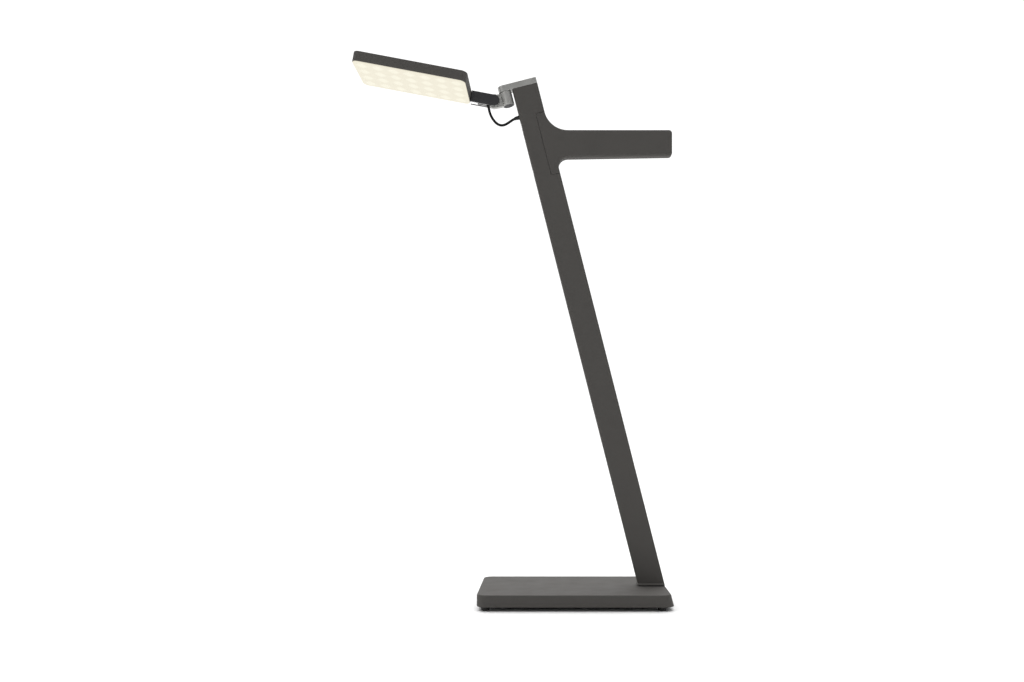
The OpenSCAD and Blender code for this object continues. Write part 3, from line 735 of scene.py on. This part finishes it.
def make_cap(size, mast):
    """The cap arm: a flat bar on the mast's top with a half-round front end over the swivel
    and the mast's own corners at the back."""
    front, back = reach("cap_arm", OUT)
    low, high = reach("cap_arm", UP)
    outline = np.concatenate([
        arc((back - mast.edge, HALF - mast.edge), mast.edge, 0, 90, 8),
        arc((front + HALF, 0), HALF, 90, 270, 40),
        arc((back - mast.edge, mast.edge - HALF), mast.edge, 270, 360, 8)])
    piece = solid("cap_bar", [plate(MAST_PLAN, outline, size.cap_edge, low, high,
                                    low_share=0.6)])
    near, far = reach("cap_screws", OUT)
    r = size.cap_screw / 2
    places = [a * OUT + high * UP for a in (near + r, far - r)]
    for centre in places:
        cut(piece, countersink(centre, UP, size.cap_seat, mast.seat_depth))
    finished(piece, "lamp_stand", "cap_arm")
    shells = [screw(centre - SUNK * UP, UP, size.cap_screw, bpy.context.scene.lamp_screws)
              for centre in places]
    finished(solid("cap_screw_heads", shells), "lamp_stand", "cap_screws")


def make_knuckle(size):
    """The barrel is a turned ring with a pocket underneath. The tongue is a rounded plate:
    a disc about the tilt axis, carried back into the barrel."""
    along = SWIVEL @ OUT
    low = reach("knuckle", UP)[0]
    top = reach("knuckle", UP, lambda points: points @ OUT > along)[1]
    radius = reach("knuckle", OUT)[1] - along
    pocket, deep = size.pocket / 2, size.pocket_depth
    bore = size.pin / 2 + PLAY
    length = top - low
    profile = soften([(radius, 0), (radius, length), (bore, length), (bore, deep),
                      (pocket, deep), (pocket, 0)],
                     np.array([0.35, 0.35, 0.2, 0.1, 0.1, 0.15]) * MM, closed=True)
    centre = along * OUT + low * UP
    barrel = solid("knuckle_barrel", [turned(centre, UP, profile, 96)], loop=True)
    a, b = TILT @ OUT, TILT @ UP
    disc = a - reach("knuckle", OUT)[0]
    over, under = 0.1 * MM, 0.15 * MM
    rise = math.degrees(math.asin((top - b - over) / disc))
    inner = along - (radius + pocket) / 2
    outline = np.concatenate([arc((a, b), disc, rise, 270, 40),
                              [(inner, low + under), (inner, top - over)]])
    half = size.tongue / 2
    tongue = solid("tongue", [plate(MAST_SIDE, outline, size.tongue_edge, -half, half)])
    cut(barrel, tongue, "UNION")
    finished(barrel, "swivel_knuckle", "knuckle")

    low_cap, high_cap = reach("barrel_end_cap", UP)
    r = reach("barrel_end_cap", OUT)[1] - along
    dish = 0.12 * MM
    profile = soften([(TIP, dish), (r * 0.72, dish), (r * 0.8, 0.0), (r, 0.0),
                      (r, high_cap - low_cap), (TIP, high_cap - low_cap)],
                     np.array([0, 0.2, 0.15, 0.15, 0.1, 0]) * MM)
    finished(solid("barrel_plug", [turned(along * OUT + low_cap * UP, UP, profile, 64)]),
             "swivel_knuckle", "barrel_end_cap")


def strip(x, z, r, end):
    """A strip's outline: half a circle about a point, and a square cut at the other end."""
    return np.concatenate([arc((x, z), r, -90, 90, 40), [(end, z + r), (end, z - r)]])


def make_arm(size):
    """The fork between the covers: a rounded strip, slotted for the tongue. Each cover is
    the same strip, a little higher, with a rounded outer edge."""
    x, z = TILT @ HEAD_ALONG, TILT @ HEAD_UP
    end = reach("arm_cover_near", HEAD_ALONG)[0]
    for node, side in (("arm_cover_near", -1), ("arm_cover_far", 1)):
        low, high = reach(node, HEAD_UP)
        near, far = reach(node, ACROSS)
        flat = plate((HEAD_ALONG, HEAD_UP, ACROSS * side), strip(x, z, (high - low) / 2, end),
                     size.cover_edge, min(abs(near), abs(far)), max(abs(near), abs(far)),
                     low_share=0.12)
        finished(solid(node.replace("cover", "side_cover"), [flat]), "lamp_head", node)

    low, high = reach("arm_fork", HEAD_UP)
    r = (high - low) / 2
    half = reach("arm_fork", ACROSS)[1]
    fork = solid("arm_fork_strip", [plate(HEAD_SIDE, strip(x, z, r, end), size.fork_edge,
                                          -half, half)])
    slot = size.slot / 2
    path = np.array([(-size.slot_long, -2 * r), (4 * r, -2 * r), (4 * r, 2 * r),
                     (-size.slot_short, 2 * r), (-size.slot_short, size.slot_roof),
                     (-size.slot_long, size.slot_roof)]) + (x, z)
    slot_edge, tab_corner, tab_edge = 0.1 * MM, 0.6 * MM, 0.2 * MM
    cut(fork, solid("slot", [plate(HEAD_SIDE, path, slot_edge, -slot, slot)]))
    tab = reach("arm_fork", HEAD_ALONG)[0]
    lower = z + size.tab_height
    box = rounded_box((tab, -size.tab / 2), (end + 2 * MM, size.tab / 2), tab_corner, 4)
    cut(fork, solid("tab", [plate(HEAD_PLAN, box, tab_edge, lower, lower + size.tab_thick)]),
        "UNION")
    finished(fork, "lamp_head", "arm_fork")


def make_head(size):
    """The housing: a rounded slab, hollow underneath, with softened top edges."""
    x0, x1 = reach("head_housing", HEAD_ALONG)
    y0, y1 = reach("head_housing", ACROSS)
    z0, z1 = reach("head_housing", HEAD_UP)
    outline = rounded_box((x0, y0), (x1, y1), size.corner, 14)
    rings = plate(HEAD_PLAN, outline, size.edge, z0, z1, low_share=0.35, wall=size.wall,
                  roof=z1 - size.wall)
    finished(solid("head_shell", [rings]), "lamp_head", "head_housing")


def make_lens(size):
    """The lens plate: a rounded slab whose underside carries a grid of small pillows. Over
    one pillow the depth is the product of two parabolas, one along and one across, that are
    1 in the middle and 0 at its borders."""
    x0, x1 = reach("lens_plate", HEAD_ALONG)
    y0, y1 = reach("lens_plate", ACROSS)
    z0, z1 = reach("lens_plate", HEAD_UP)
    step = z0 + size.lens_step
    deep = size.pillow_depth
    # The plate's corners are tighter than the housing's by the rim. The plug behind it fits in
    # the housing with a gap, and runs into the plate by the overlap.
    rim, gap, plug_edge, overlap = 0.4 * MM, 0.1 * MM, 0.2 * MM, 0.05 * MM
    outline = rounded_box((x0, y0), (x1, y1), size.corner - rim, 14)
    slab = plate(HEAD_PLAN, outline, size.lens_edge, z0 + deep, step)
    inset = size.wall + gap - rim
    inner = rounded_box((x0 + inset, y0 + inset), (x1 - inset, y1 - inset),
                        size.corner - size.wall, 14)
    plug = plate(HEAD_PLAN, inner, plug_edge, step - overlap, z1)

    led = (reach("leds", HEAD_ALONG), reach("leds", ACROSS))
    middle = [(low + high) / 2 for low, high in led]
    pitch = (size.pitch_along, size.pitch_across)
    # Grid steps over one pillow, how far the sheet is sunk, and its thickness.
    fine, lift, thick = 4, 0.01 * MM, 0.3 * MM
    spans = []
    for centre, apart, (low, high) in zip(middle, pitch, ((x0, x1), (y0, y1))):
        cell = apart / size.pillows
        half = min(centre - low, high - centre) - size.lens_margin
        spans.append((centre, cell, int(half / cell)))
    u, v = (centre + cell * np.linspace(-count, count, 2 * count * fine + 1)
            for centre, cell, count in spans)
    arch = [1 - (np.linspace(-count, count, 2 * count * fine + 1) % 1 * 2 - 1) ** 2
            for _, _, count in spans]
    depth = deep * np.outer(arch[0], arch[1])
    grid_u, grid_v = np.meshgrid(u, v, indexing="ij")
    face = place(HEAD_PLAN, grid_u, grid_v, z0 + deep - depth + lift)
    rows, columns = grid_u.shape
    row, column = np.arange(rows - 1)[:, None] * columns, np.arange(columns - 1)[None]
    quads = np.stack([row + column, row + column + 1, row + columns + column + 1,
                      row + columns + column], -1).reshape(-1, 4)
    border = np.concatenate([np.arange(columns), np.arange(1, rows) * columns + columns - 1,
                             (rows - 1) * columns + np.arange(columns - 2, -1, -1),
                             np.arange(rows - 2, 0, -1) * columns])
    lid = face.reshape(-1, 3)[border] + HEAD_UP * thick
    total = rows * columns
    ring = np.arange(len(border))
    wall = np.stack([border, border[(ring + 1) % len(border)],
                     total + (ring + 1) % len(border), total + ring], -1)

    points, faces = gathered([slab, plug])
    start = len(points)
    faces += (quads + start).tolist() + (wall + start).tolist()
    faces += [(ring + total + start).tolist()]
    points = np.concatenate([points, face.reshape(-1, 3), lid])
    piece = built("lens_panel", points, faces)
    mesh = piece.data
    spot = np.zeros(len(mesh.loops), int)
    mesh.loops.foreach_get("vertex_index", spot)
    count = [(points @ axis - centre) / apart - (0.5 if number % 2 == 0 else 0)
             for axis, centre, apart, number in zip((HEAD_ALONG, ACROSS), middle, pitch,
                                                    (size.diodes_along, size.diodes_across))]
    uv = mesh.uv_layers.new(name="diodes")
    uv.data.foreach_set("uv", np.stack(count, -1)[spot].astype(np.float32).ravel())
    finished(piece, "lamp_head", "lens_plate", sharp=40)


# The lamp cable's route, from the gland on the knuckle down and round to the mast: X and Z.
CABLE_ROUTE = np.array([
    (-29.0, 494.8), (-28.7, 493.0), (-28.4, 491.1), (-28.0, 489.1), (-27.5, 487.0),
    (-26.8, 484.9), (-25.9, 482.8), (-24.8, 480.8), (-23.5, 478.9), (-22.0, 477.1),
    (-20.2, 475.5), (-18.1, 474.3), (-15.8, 473.8), (-13.4, 474.0), (-11.1, 474.9),
    (-8.9, 476.2), (-6.7, 477.7), (-4.6, 479.1), (-2.6, 480.1), (-0.5, 480.8),
    (1.5, 481.4)]) * MM


def through(points, parts=4):
    """A smooth line through points: between two of them, the cubic whose slope at each is
    half the step from the point before to the point after."""
    padded = np.concatenate([2 * points[:1] - points[1:2], points,
                             2 * points[-1:] - points[-2:-1]])
    p0, p1, p2, p3 = (padded[i:len(padded) - 3 + i, None] for i in range(4))
    t = np.linspace(0, 1, parts, endpoint=False)[None, :, None]
    line = 0.5 * (2 * p1 + (p2 - p0) * t + (2 * p0 - 5 * p1 + 4 * p2 - p3) * t ** 2
                  + (3 * p1 - 3 * p2 + p3 - p0) * t ** 3)
    return np.concatenate([line.reshape(-1, points.shape[1]), points[-1:]])


def make_cable(size):
    """The cable is a circle carried along its route, square to it. The boot is a turned
    cone with grooves, and the gland a small rounded block."""
    near, far = reach("cable_boot", OUT)
    height = sum(reach("cable_boot", UP)) / 2
    mouth, depth, tip = size.diameter / 2 + PLAY, 3 * MM, 0.3 * MM
    # Radius and depth, in millimetres, of the nose, the two grooves and the bands between
    # them, the neck in the mast's wall and the flange behind it.
    steps = np.array([(1.6, 0), (1.78, 1.2), (1.62, 1.35), (1.62, 1.75), (1.86, 1.9),
                      (1.94, 2.7), (1.76, 2.85), (1.76, 3.25), (2.02, 3.4), (2.1, 4.7),
                      (1.6, 4.72), (1.6, 6.2), (2.3, 6.2)]) * MM
    profile = np.concatenate([[(tip, depth), (mouth, depth), (mouth, 0)], steps,
                              [(steps[-1, 0], far - near), (tip, far - near)]])
    boot = solid("cable_boot_cone", [turned(near * OUT + height * UP, OUT,
                                            soften(profile, 0.06 * MM, 3), 48)])
    finished(boot, "lamp_stand", "cable_boot")

    points = corners("cable_gland")
    middle = (points.min(0) + points.max(0)) / 2
    turn = math.radians(size.gland_turn)
    gland_up = np.array([-math.sin(turn), 0, math.cos(turn)])
    gland_out = np.cross(ACROSS, gland_up)
    half_x, half_z, half_y = size.gland[0] / 2, size.gland[1] / 2, size.gland[2] / 2
    cx, cz = middle @ gland_out, middle @ gland_up
    corner, edge = 0.7 * MM, 0.3 * MM
    outline = rounded_box((cx - half_x, cz - half_z), (cx + half_x, cz + half_z), corner, 6)
    gland = solid("cable_gland_block", [plate((gland_out, gland_up, ACROSS), outline, edge,
                                              -half_y, half_y)])
    finished(gland, "swivel_knuckle", "cable_gland")

    flat = through(CABLE_ROUTE)
    path = np.stack([flat[:, 0], np.zeros(len(flat)), flat[:, 1]], -1)
    tangent = np.gradient(path, axis=0)
    tangent /= np.linalg.norm(tangent, axis=1)[:, None]
    side = np.cross(tangent, ACROSS)
    angle = np.linspace(0, 2 * math.pi, size.sides, endpoint=False)
    ring = (np.cos(angle)[None, :, None] * side[:, None]
            + np.sin(angle)[None, :, None] * ACROSS)
    cable = solid("lamp_cable_tube", [path[:, None] + size.diameter / 2 * ring])
    run = np.concatenate([[0], np.cumsum(np.linalg.norm(np.diff(path, axis=0), axis=1))])
    along = cable.data.attributes.new("along", "FLOAT", "POINT")
    along.data.foreach_set("value", np.repeat(run, size.sides).astype(np.float32))
    finished(cable, None, "lamp_cable")
    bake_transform(cable)


def dress_frame():
    """Every CAD node that still shows takes the material of its own slot."""
    for node, piece in frame["nodes"].items():
        if not piece.hide_render:
            piece.data.materials.clear()
            piece.data.materials.append(material(SLOT[node]))


def make_camera(size):
    """A level camera that looks along Y, with its view shifted."""
    camera = added("camera", bpy.data.cameras.new("camera"))
    camera.location = size.camera
    camera.rotation_euler = (math.pi / 2, 0, 0)
    camera.data.lens, camera.data.sensor_width = size.lens, 36
    camera.data.shift_x, camera.data.shift_y = size.shift
    camera.data.clip_start = 0.01
    bpy.context.scene.camera = camera


def soft_light(name, place_at, aim, width, power):
    """A square soft box that faces a point."""
    data = bpy.data.lights.new(name, "AREA")
    data.shape, data.size, data.energy = "SQUARE", width, power
    lamp = added(name, data)
    lamp.location = place_at
    lamp.rotation_euler = (Vector(aim) - Vector(place_at)).to_track_quat("-Z", "Y").to_euler()


# The overhead light's turn about X and Y, the soft box's place from the lamp's middle and
# over its top, its width, and the directions along Y between which the surround changes.
SUN_TURN = (math.radians(-8), math.radians(-6), 0)
BOX_ASIDE, BOX_OVER, BOX_WIDTH = 1.0, 0.2, 0.8
FRONT_END, BACK_END = -0.2, 0.6


def make_stage(size):
    """A pale floor that runs far out, a surround that is white behind and softer in front,
    a broad overhead light and a soft box."""
    span = size.floor
    mesh = bpy.data.meshes.new("floor")
    mesh.from_pydata([(-span, -span, 0), (span, -span, 0), (span, span, 0),
                      (-span, span, 0)], [], [(0, 1, 2, 3)])
    floor = added("floor", mesh)
    look = Finish("floor_paper", Base_Color=(0.86, 0.86, 0.86, 1), Roughness=0.9,
                  Specular_IOR_Level=0.1)
    mesh.materials.append(look.material)
    floor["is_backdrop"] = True
    world = bpy.data.worlds.new("surround")
    world.use_nodes = True
    nodes, links = world.node_tree.nodes, world.node_tree.links
    where = nodes.new("ShaderNodeTexCoord").outputs["Generated"]
    split = nodes.new("ShaderNodeSeparateXYZ")
    spread = nodes.new("ShaderNodeMapRange")
    links.new(where, split.inputs[0])
    links.new(split.outputs["Y"], spread.inputs["Value"])
    for socket, value in (("From Min", FRONT_END), ("From Max", BACK_END),
                          ("To Min", size.front), ("To Max", size.surround)):
        spread.inputs[socket].default_value = value
    links.new(spread.outputs["Result"], nodes["Background"].inputs["Strength"])
    nodes["Background"].inputs["Color"].default_value = (1, 1, 1, 1)
    bpy.context.scene.world = world
    data = bpy.data.lights.new("overhead", "SUN")
    data.energy, data.angle = size.top, math.radians(size.softness)
    added("overhead", data).rotation_euler = SUN_TURN
    low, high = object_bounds()
    middle = (low + high) / 2
    soft_light("side_box", (middle.x - BOX_ASIDE, middle.y - BOX_ASIDE, high.z + BOX_OVER),
               middle, BOX_WIDTH, size.side)
    bpy.context.scene.view_settings.view_transform = "Standard"
    bpy.context.scene.render.film_transparent = False


# ---- sizes and colours that a user would change ----


def length(name, description, default, least=0.0, most=1.0):
    """A property that holds a length in metres."""
    return FloatProperty(name=name, description=description, default=default, min=least,
                         max=most, precision=4, subtype="DISTANCE", unit="LENGTH")


def colour(name, description, default):
    """A property that holds a colour."""
    return FloatVectorProperty(name=name, description=description, default=default, size=3,
                               min=0.0, max=1.0, subtype="COLOR")


class LampLooks(PropertyGroup):
    paint: colour("Paint", "Colour of the powder paint", (0.060, 0.0565, 0.0525))
    neck: colour("Neck", "Colour of the cap arm and the barrel", (0.40, 0.40, 0.385))
    fork: colour("Fork", "Colour of the arm's bright metal", (0.93, 0.93, 0.92))
    plastic: colour("Plastic", "Colour of the black plastic", (0.026, 0.026, 0.028))
    rubber: colour("Rubber", "Colour of the rubber", (0.009, 0.009, 0.009))
    jacket: colour("Jacket", "Colour of the cable's jacket", (0.003, 0.003, 0.003))
    lens: colour("Lens", "Colour of the light over a diode", (0.975, 0.935, 0.78))
    lens_between: colour("Lens, between", "Colour of the light between diodes",
                         (0.90, 0.85, 0.70))


class LampScrews(PropertyGroup):
    shank: length("Shank", "Diameter of a screw's shank", 0.003)
    cone: length("Cone", "Depth of a screw's conical head", 0.0016)
    length: length("Length", "Length of a screw", 0.007)
    socket: length("Socket", "Width of the hexagon socket", 0.002)
    socket_depth: length("Socket depth", "Depth of the hexagon socket", 0.0012)


class LampBase(PropertyGroup):
    corner: length("Corner", "Corner radius of the base in plan", 0.009)
    edge: length("Edge", "Radius of the base's top edge", 0.0010)
    wall: length("Wall", "Wall of the base cover", 0.0022)
    foot: length("Foot", "Diameter of a rubber foot", 0.008)
    screw_head: length("Screw head", "Diameter of a base screw's head", 0.0056)


class LampMast(PropertyGroup):
    edge: length("Edge", "Radius of the mast's long edges", 0.0015)
    collar: length("Collar", "How far the collar stands out round the mast", 0.0015)
    seam: length("Seam", "Gap between the mast and the handle's foot", 0.00025)
    seam_edge: length("Seam edge", "Radius of the edges along the seam", 0.0003)
    pocket_corner: length("Pocket corner", "Corner radius of the handle's foot", 0.002)
    screw_head: length("Screw head", "Diameter of a handle screw's head", 0.0056)
    screw_seat: length("Screw seat", "Diameter of a handle screw's seat", 0.0059)
    seat_depth: length("Seat depth", "Depth of a screw's seat", 0.0017)


class LampHandle(PropertyGroup):
    height: length("Height", "Height of the handle bar at its rear end", 0.0259)
    taper: FloatProperty(name="Taper", description="Slope of the lower edge, in degrees",
                         default=0.95, min=0.0, max=3.0)
    sweep: length("Sweep", "Radius from the mast onto the handle's top edge", 0.0235)
    armpit: length("Armpit", "Radius under the handle at the mast", 0.0085)
    end: length("End", "Corner radius at the handle's rear end", 0.0033)
    edge: length("Edge", "Radius of the handle's long edges", 0.0023)


class LampNeck(PropertyGroup):
    cap_edge: length("Cap edge", "Radius of the cap arm's top edge", 0.0004)
    cap_screw: length("Cap screw", "Diameter of a cap screw's head", 0.0054)
    cap_seat: length("Cap screw seat", "Diameter of a cap screw's seat", 0.0058)
    pocket: length("Pocket", "Diameter of the pocket under the barrel", 0.0102)
    pocket_depth: length("Pocket depth", "Depth of the pocket under the barrel", 0.0033)
    pin: length("Pin", "Diameter of the swivel pin", 0.006)
    tongue: length("Tongue", "Thickness of the tongue", 0.004)
    tongue_edge: length("Tongue edge", "Radius of the tongue's edges", 0.00035)


class LampArm(PropertyGroup):
    cover_edge: length("Cover edge", "Radius of a cover's outer edge", 0.0005)
    fork_edge: length("Fork edge", "Radius of the fork's edges", 0.0003)
    slot: length("Slot", "Width of the slot for the tongue", 0.0047)
    slot_long: length("Long slot", "Reach of the slot's lower part", 0.016)
    slot_short: length("Short slot", "Reach of the slot's upper part", 0.0095)
    slot_roof: length("Slot roof", "Height of the slot's roof over the axis", 0.0039)
    tab: length("Tab", "Width of the tab in the head", 0.005)
    tab_height: length("Tab height", "Height of the tab over the axis", 0.0012)
    tab_thick: length("Tab thickness", "Thickness of the tab", 0.0021)


class LampHead(PropertyGroup):
    corner: length("Corner", "Corner radius of the head in plan", 0.006)
    edge: length("Edge", "Radius of the head's top edge", 0.0007)
    wall: length("Wall", "Wall of the housing", 0.0013)
    lens_step: length("Lens step", "How far the lens stands out under the head", 0.001)
    lens_edge: length("Lens edge", "Radius of the lens plate's edges", 0.00025)
    lens_margin: length("Lens margin", "Plain border round the pillows", 0.0018)
    pillow_depth: length("Pillow depth", "Depth of a pillow on the lens", 0.00015)
    pillows: IntProperty(name="Pillows", description="Pillows from one diode to the next",
                         default=8, min=2, max=12)
    diodes_along: IntProperty(name="Diodes along", description="Diodes in a row",
                              default=7, min=2, max=12)
    diodes_across: IntProperty(name="Diodes across", description="Rows of diodes",
                               default=4, min=2, max=12)
    pitch_along: length("Pitch along", "Distance between diodes along the head", 0.0152)
    pitch_across: length("Pitch across", "Distance between rows of diodes", 0.0144)


class LampCable(PropertyGroup):
    diameter: length("Diameter", "Diameter of the lamp cable", 0.0025)
    length: length("Length", "Real length of the lamp cable", 0.046)
    sides: IntProperty(name="Sides", description="Sides of the cable's round section",
                       default=24, min=8, max=64)
    gland_turn: FloatProperty(name="Gland turn", description="The gland's lean, in degrees",
                              default=10.0, min=0.0, max=45.0)
    gland: FloatVectorProperty(name="Gland", description="The gland's length, height and width",
                               default=(0.0036, 0.004, 0.004), size=3, precision=4,
                               subtype="XYZ_LENGTH", unit="LENGTH")


class LampStage(PropertyGroup):
    camera: FloatVectorProperty(name="Camera", description="Where the camera stands",
                                default=(0.0308, -0.8957, 0.1707), size=3, precision=4,
                                subtype="XYZ_LENGTH", unit="LENGTH")
    lens: FloatProperty(name="Lens", description="Focal length in millimetres", default=31.6,
                        min=10.0, max=200.0)
    shift: FloatVectorProperty(name="Shift", description="Camera shift, sideways and up",
                               default=(-0.0353, 0.0864), size=2, precision=4)
    floor: length("Floor", "Half the floor's width", 8.0, 0.5, 20.0)
    surround: FloatProperty(name="Surround", description="Strength of the white backdrop",
                            default=1.15, min=0.0, max=5.0)
    front: FloatProperty(name="Front", description="Strength of the light from the front",
                         default=0.35, min=0.0, max=5.0)
    top: FloatProperty(name="Top light", description="Strength of the overhead light",
                       default=2.7, min=0.0, max=50.0)
    softness: FloatProperty(name="Softness", description="Spread of the overhead light, degrees",
                            default=80.0, min=0.0, max=180.0)
    side: FloatProperty(name="Side light", description="Power of the side soft box",
                        default=1.5, min=0.0, max=500.0, subtype="POWER", unit="POWER")


# ---- operators ----


class LAMP_OT_camera(Operator):
    """Add the camera"""
    bl_idname = "lamp.camera"
    bl_label = "Camera"

    def execute(self, context):
        make_camera(context.scene.lamp_stage)
        return {"FINISHED"}


class LAMP_OT_cable(Operator):
    """Build the lamp cable, its boot in the mast and its gland on the knuckle"""
    bl_idname = "lamp.cable"
    bl_label = "Cable"

    def execute(self, context):
        make_cable(context.scene.lamp_cable)
        return {"FINISHED"}


class LAMP_OT_base(Operator):
    """Build the base cover, its feet and its screws"""
    bl_idname = "lamp.base"
    bl_label = "Base"

    def execute(self, context):
        make_base(context.scene.lamp_base)
        return {"FINISHED"}


class LAMP_OT_collar(Operator):
    """Build the collar at the mast's foot"""
    bl_idname = "lamp.collar"
    bl_label = "Collar"

    def execute(self, context):
        make_collar(context.scene.lamp_mast)
        return {"FINISHED"}


class LAMP_OT_mast(Operator):
    """Build the mast"""
    bl_idname = "lamp.mast"
    bl_label = "Mast"

    def execute(self, context):
        make_mast(context.scene.lamp_mast)
        return {"FINISHED"}


class LAMP_OT_handle(Operator):
    """Build the handle and its screws"""
    bl_idname = "lamp.handle"
    bl_label = "Handle"

    def execute(self, context):
        make_handle(context.scene.lamp_handle, context.scene.lamp_mast)
        return {"FINISHED"}


class LAMP_OT_cap(Operator):
    """Build the cap arm and its screws"""
    bl_idname = "lamp.cap"
    bl_label = "Cap arm"

    def execute(self, context):
        make_cap(context.scene.lamp_neck, context.scene.lamp_mast)
        return {"FINISHED"}


class LAMP_OT_knuckle(Operator):
    """Build the swivel knuckle and the plug under its barrel"""
    bl_idname = "lamp.knuckle"
    bl_label = "Knuckle"

    def execute(self, context):
        make_knuckle(context.scene.lamp_neck)
        return {"FINISHED"}


class LAMP_OT_arm(Operator):
    """Build the fork and its two covers"""
    bl_idname = "lamp.arm"
    bl_label = "Arm"

    def execute(self, context):
        make_arm(context.scene.lamp_arm)
        return {"FINISHED"}


class LAMP_OT_head(Operator):
    """Build the head's housing"""
    bl_idname = "lamp.head"
    bl_label = "Head"

    def execute(self, context):
        make_head(context.scene.lamp_head)
        return {"FINISHED"}


class LAMP_OT_lens(Operator):
    """Build the lens plate"""
    bl_idname = "lamp.lens"
    bl_label = "Lens"

    def execute(self, context):
        make_lens(context.scene.lamp_head)
        return {"FINISHED"}


class LAMP_OT_finishes(Operator):
    """Give the remaining CAD nodes their finishes"""
    bl_idname = "lamp.finishes"
    bl_label = "Finishes"

    def execute(self, context):
        dress_frame()
        return {"FINISHED"}


class LAMP_OT_stage(Operator):
    """Add the floor, the surround and the lights"""
    bl_idname = "lamp.stage"
    bl_label = "Stage"

    def execute(self, context):
        make_stage(context.scene.lamp_stage)
        return {"FINISHED"}


GROUPS = {"lamp_looks": LampLooks, "lamp_screws": LampScrews, "lamp_base": LampBase,
          "lamp_mast": LampMast, "lamp_handle": LampHandle, "lamp_neck": LampNeck,
          "lamp_arm": LampArm, "lamp_head": LampHead, "lamp_cable": LampCable,
          "lamp_stage": LampStage}
STEPS = (LAMP_OT_camera, LAMP_OT_cable, LAMP_OT_base, LAMP_OT_collar, LAMP_OT_mast,
         LAMP_OT_handle, LAMP_OT_cap, LAMP_OT_knuckle, LAMP_OT_arm, LAMP_OT_head,
         LAMP_OT_lens, LAMP_OT_finishes, LAMP_OT_stage)


class LAMP_PT_panel(Panel):
    """Every step of the lamp, in order, with its sizes"""
    bl_label = "Reading lamp"
    bl_idname = "LAMP_PT_panel"
    bl_space_type = "VIEW_3D"
    bl_region_type = "UI"
    bl_category = "Lamp"

    def draw(self, context):
        for step in STEPS:
            self.layout.operator(step.bl_idname, text=step.bl_label)
        for group in GROUPS:
            box = self.layout.box()
            for prop in GROUPS[group].__annotations__:
                box.prop(getattr(context.scene, group), prop)


def register():
    for cls in (*GROUPS.values(), *STEPS, LAMP_PT_panel):
        bpy.utils.register_class(cls)
    for name, cls in GROUPS.items():
        setattr(bpy.types.Scene, name, PointerProperty(type=cls))


def unregister():
    for name in GROUPS:
        delattr(bpy.types.Scene, name)
    for cls in reversed((*GROUPS.values(), *STEPS, LAMP_PT_panel)):
        bpy.utils.unregister_class(cls)


def main():
    register()
    for step in STEPS:
        group, name = step.bl_idname.split(".")
        getattr(getattr(bpy.ops, group), name)()


if __name__ == "__main__":
    main()
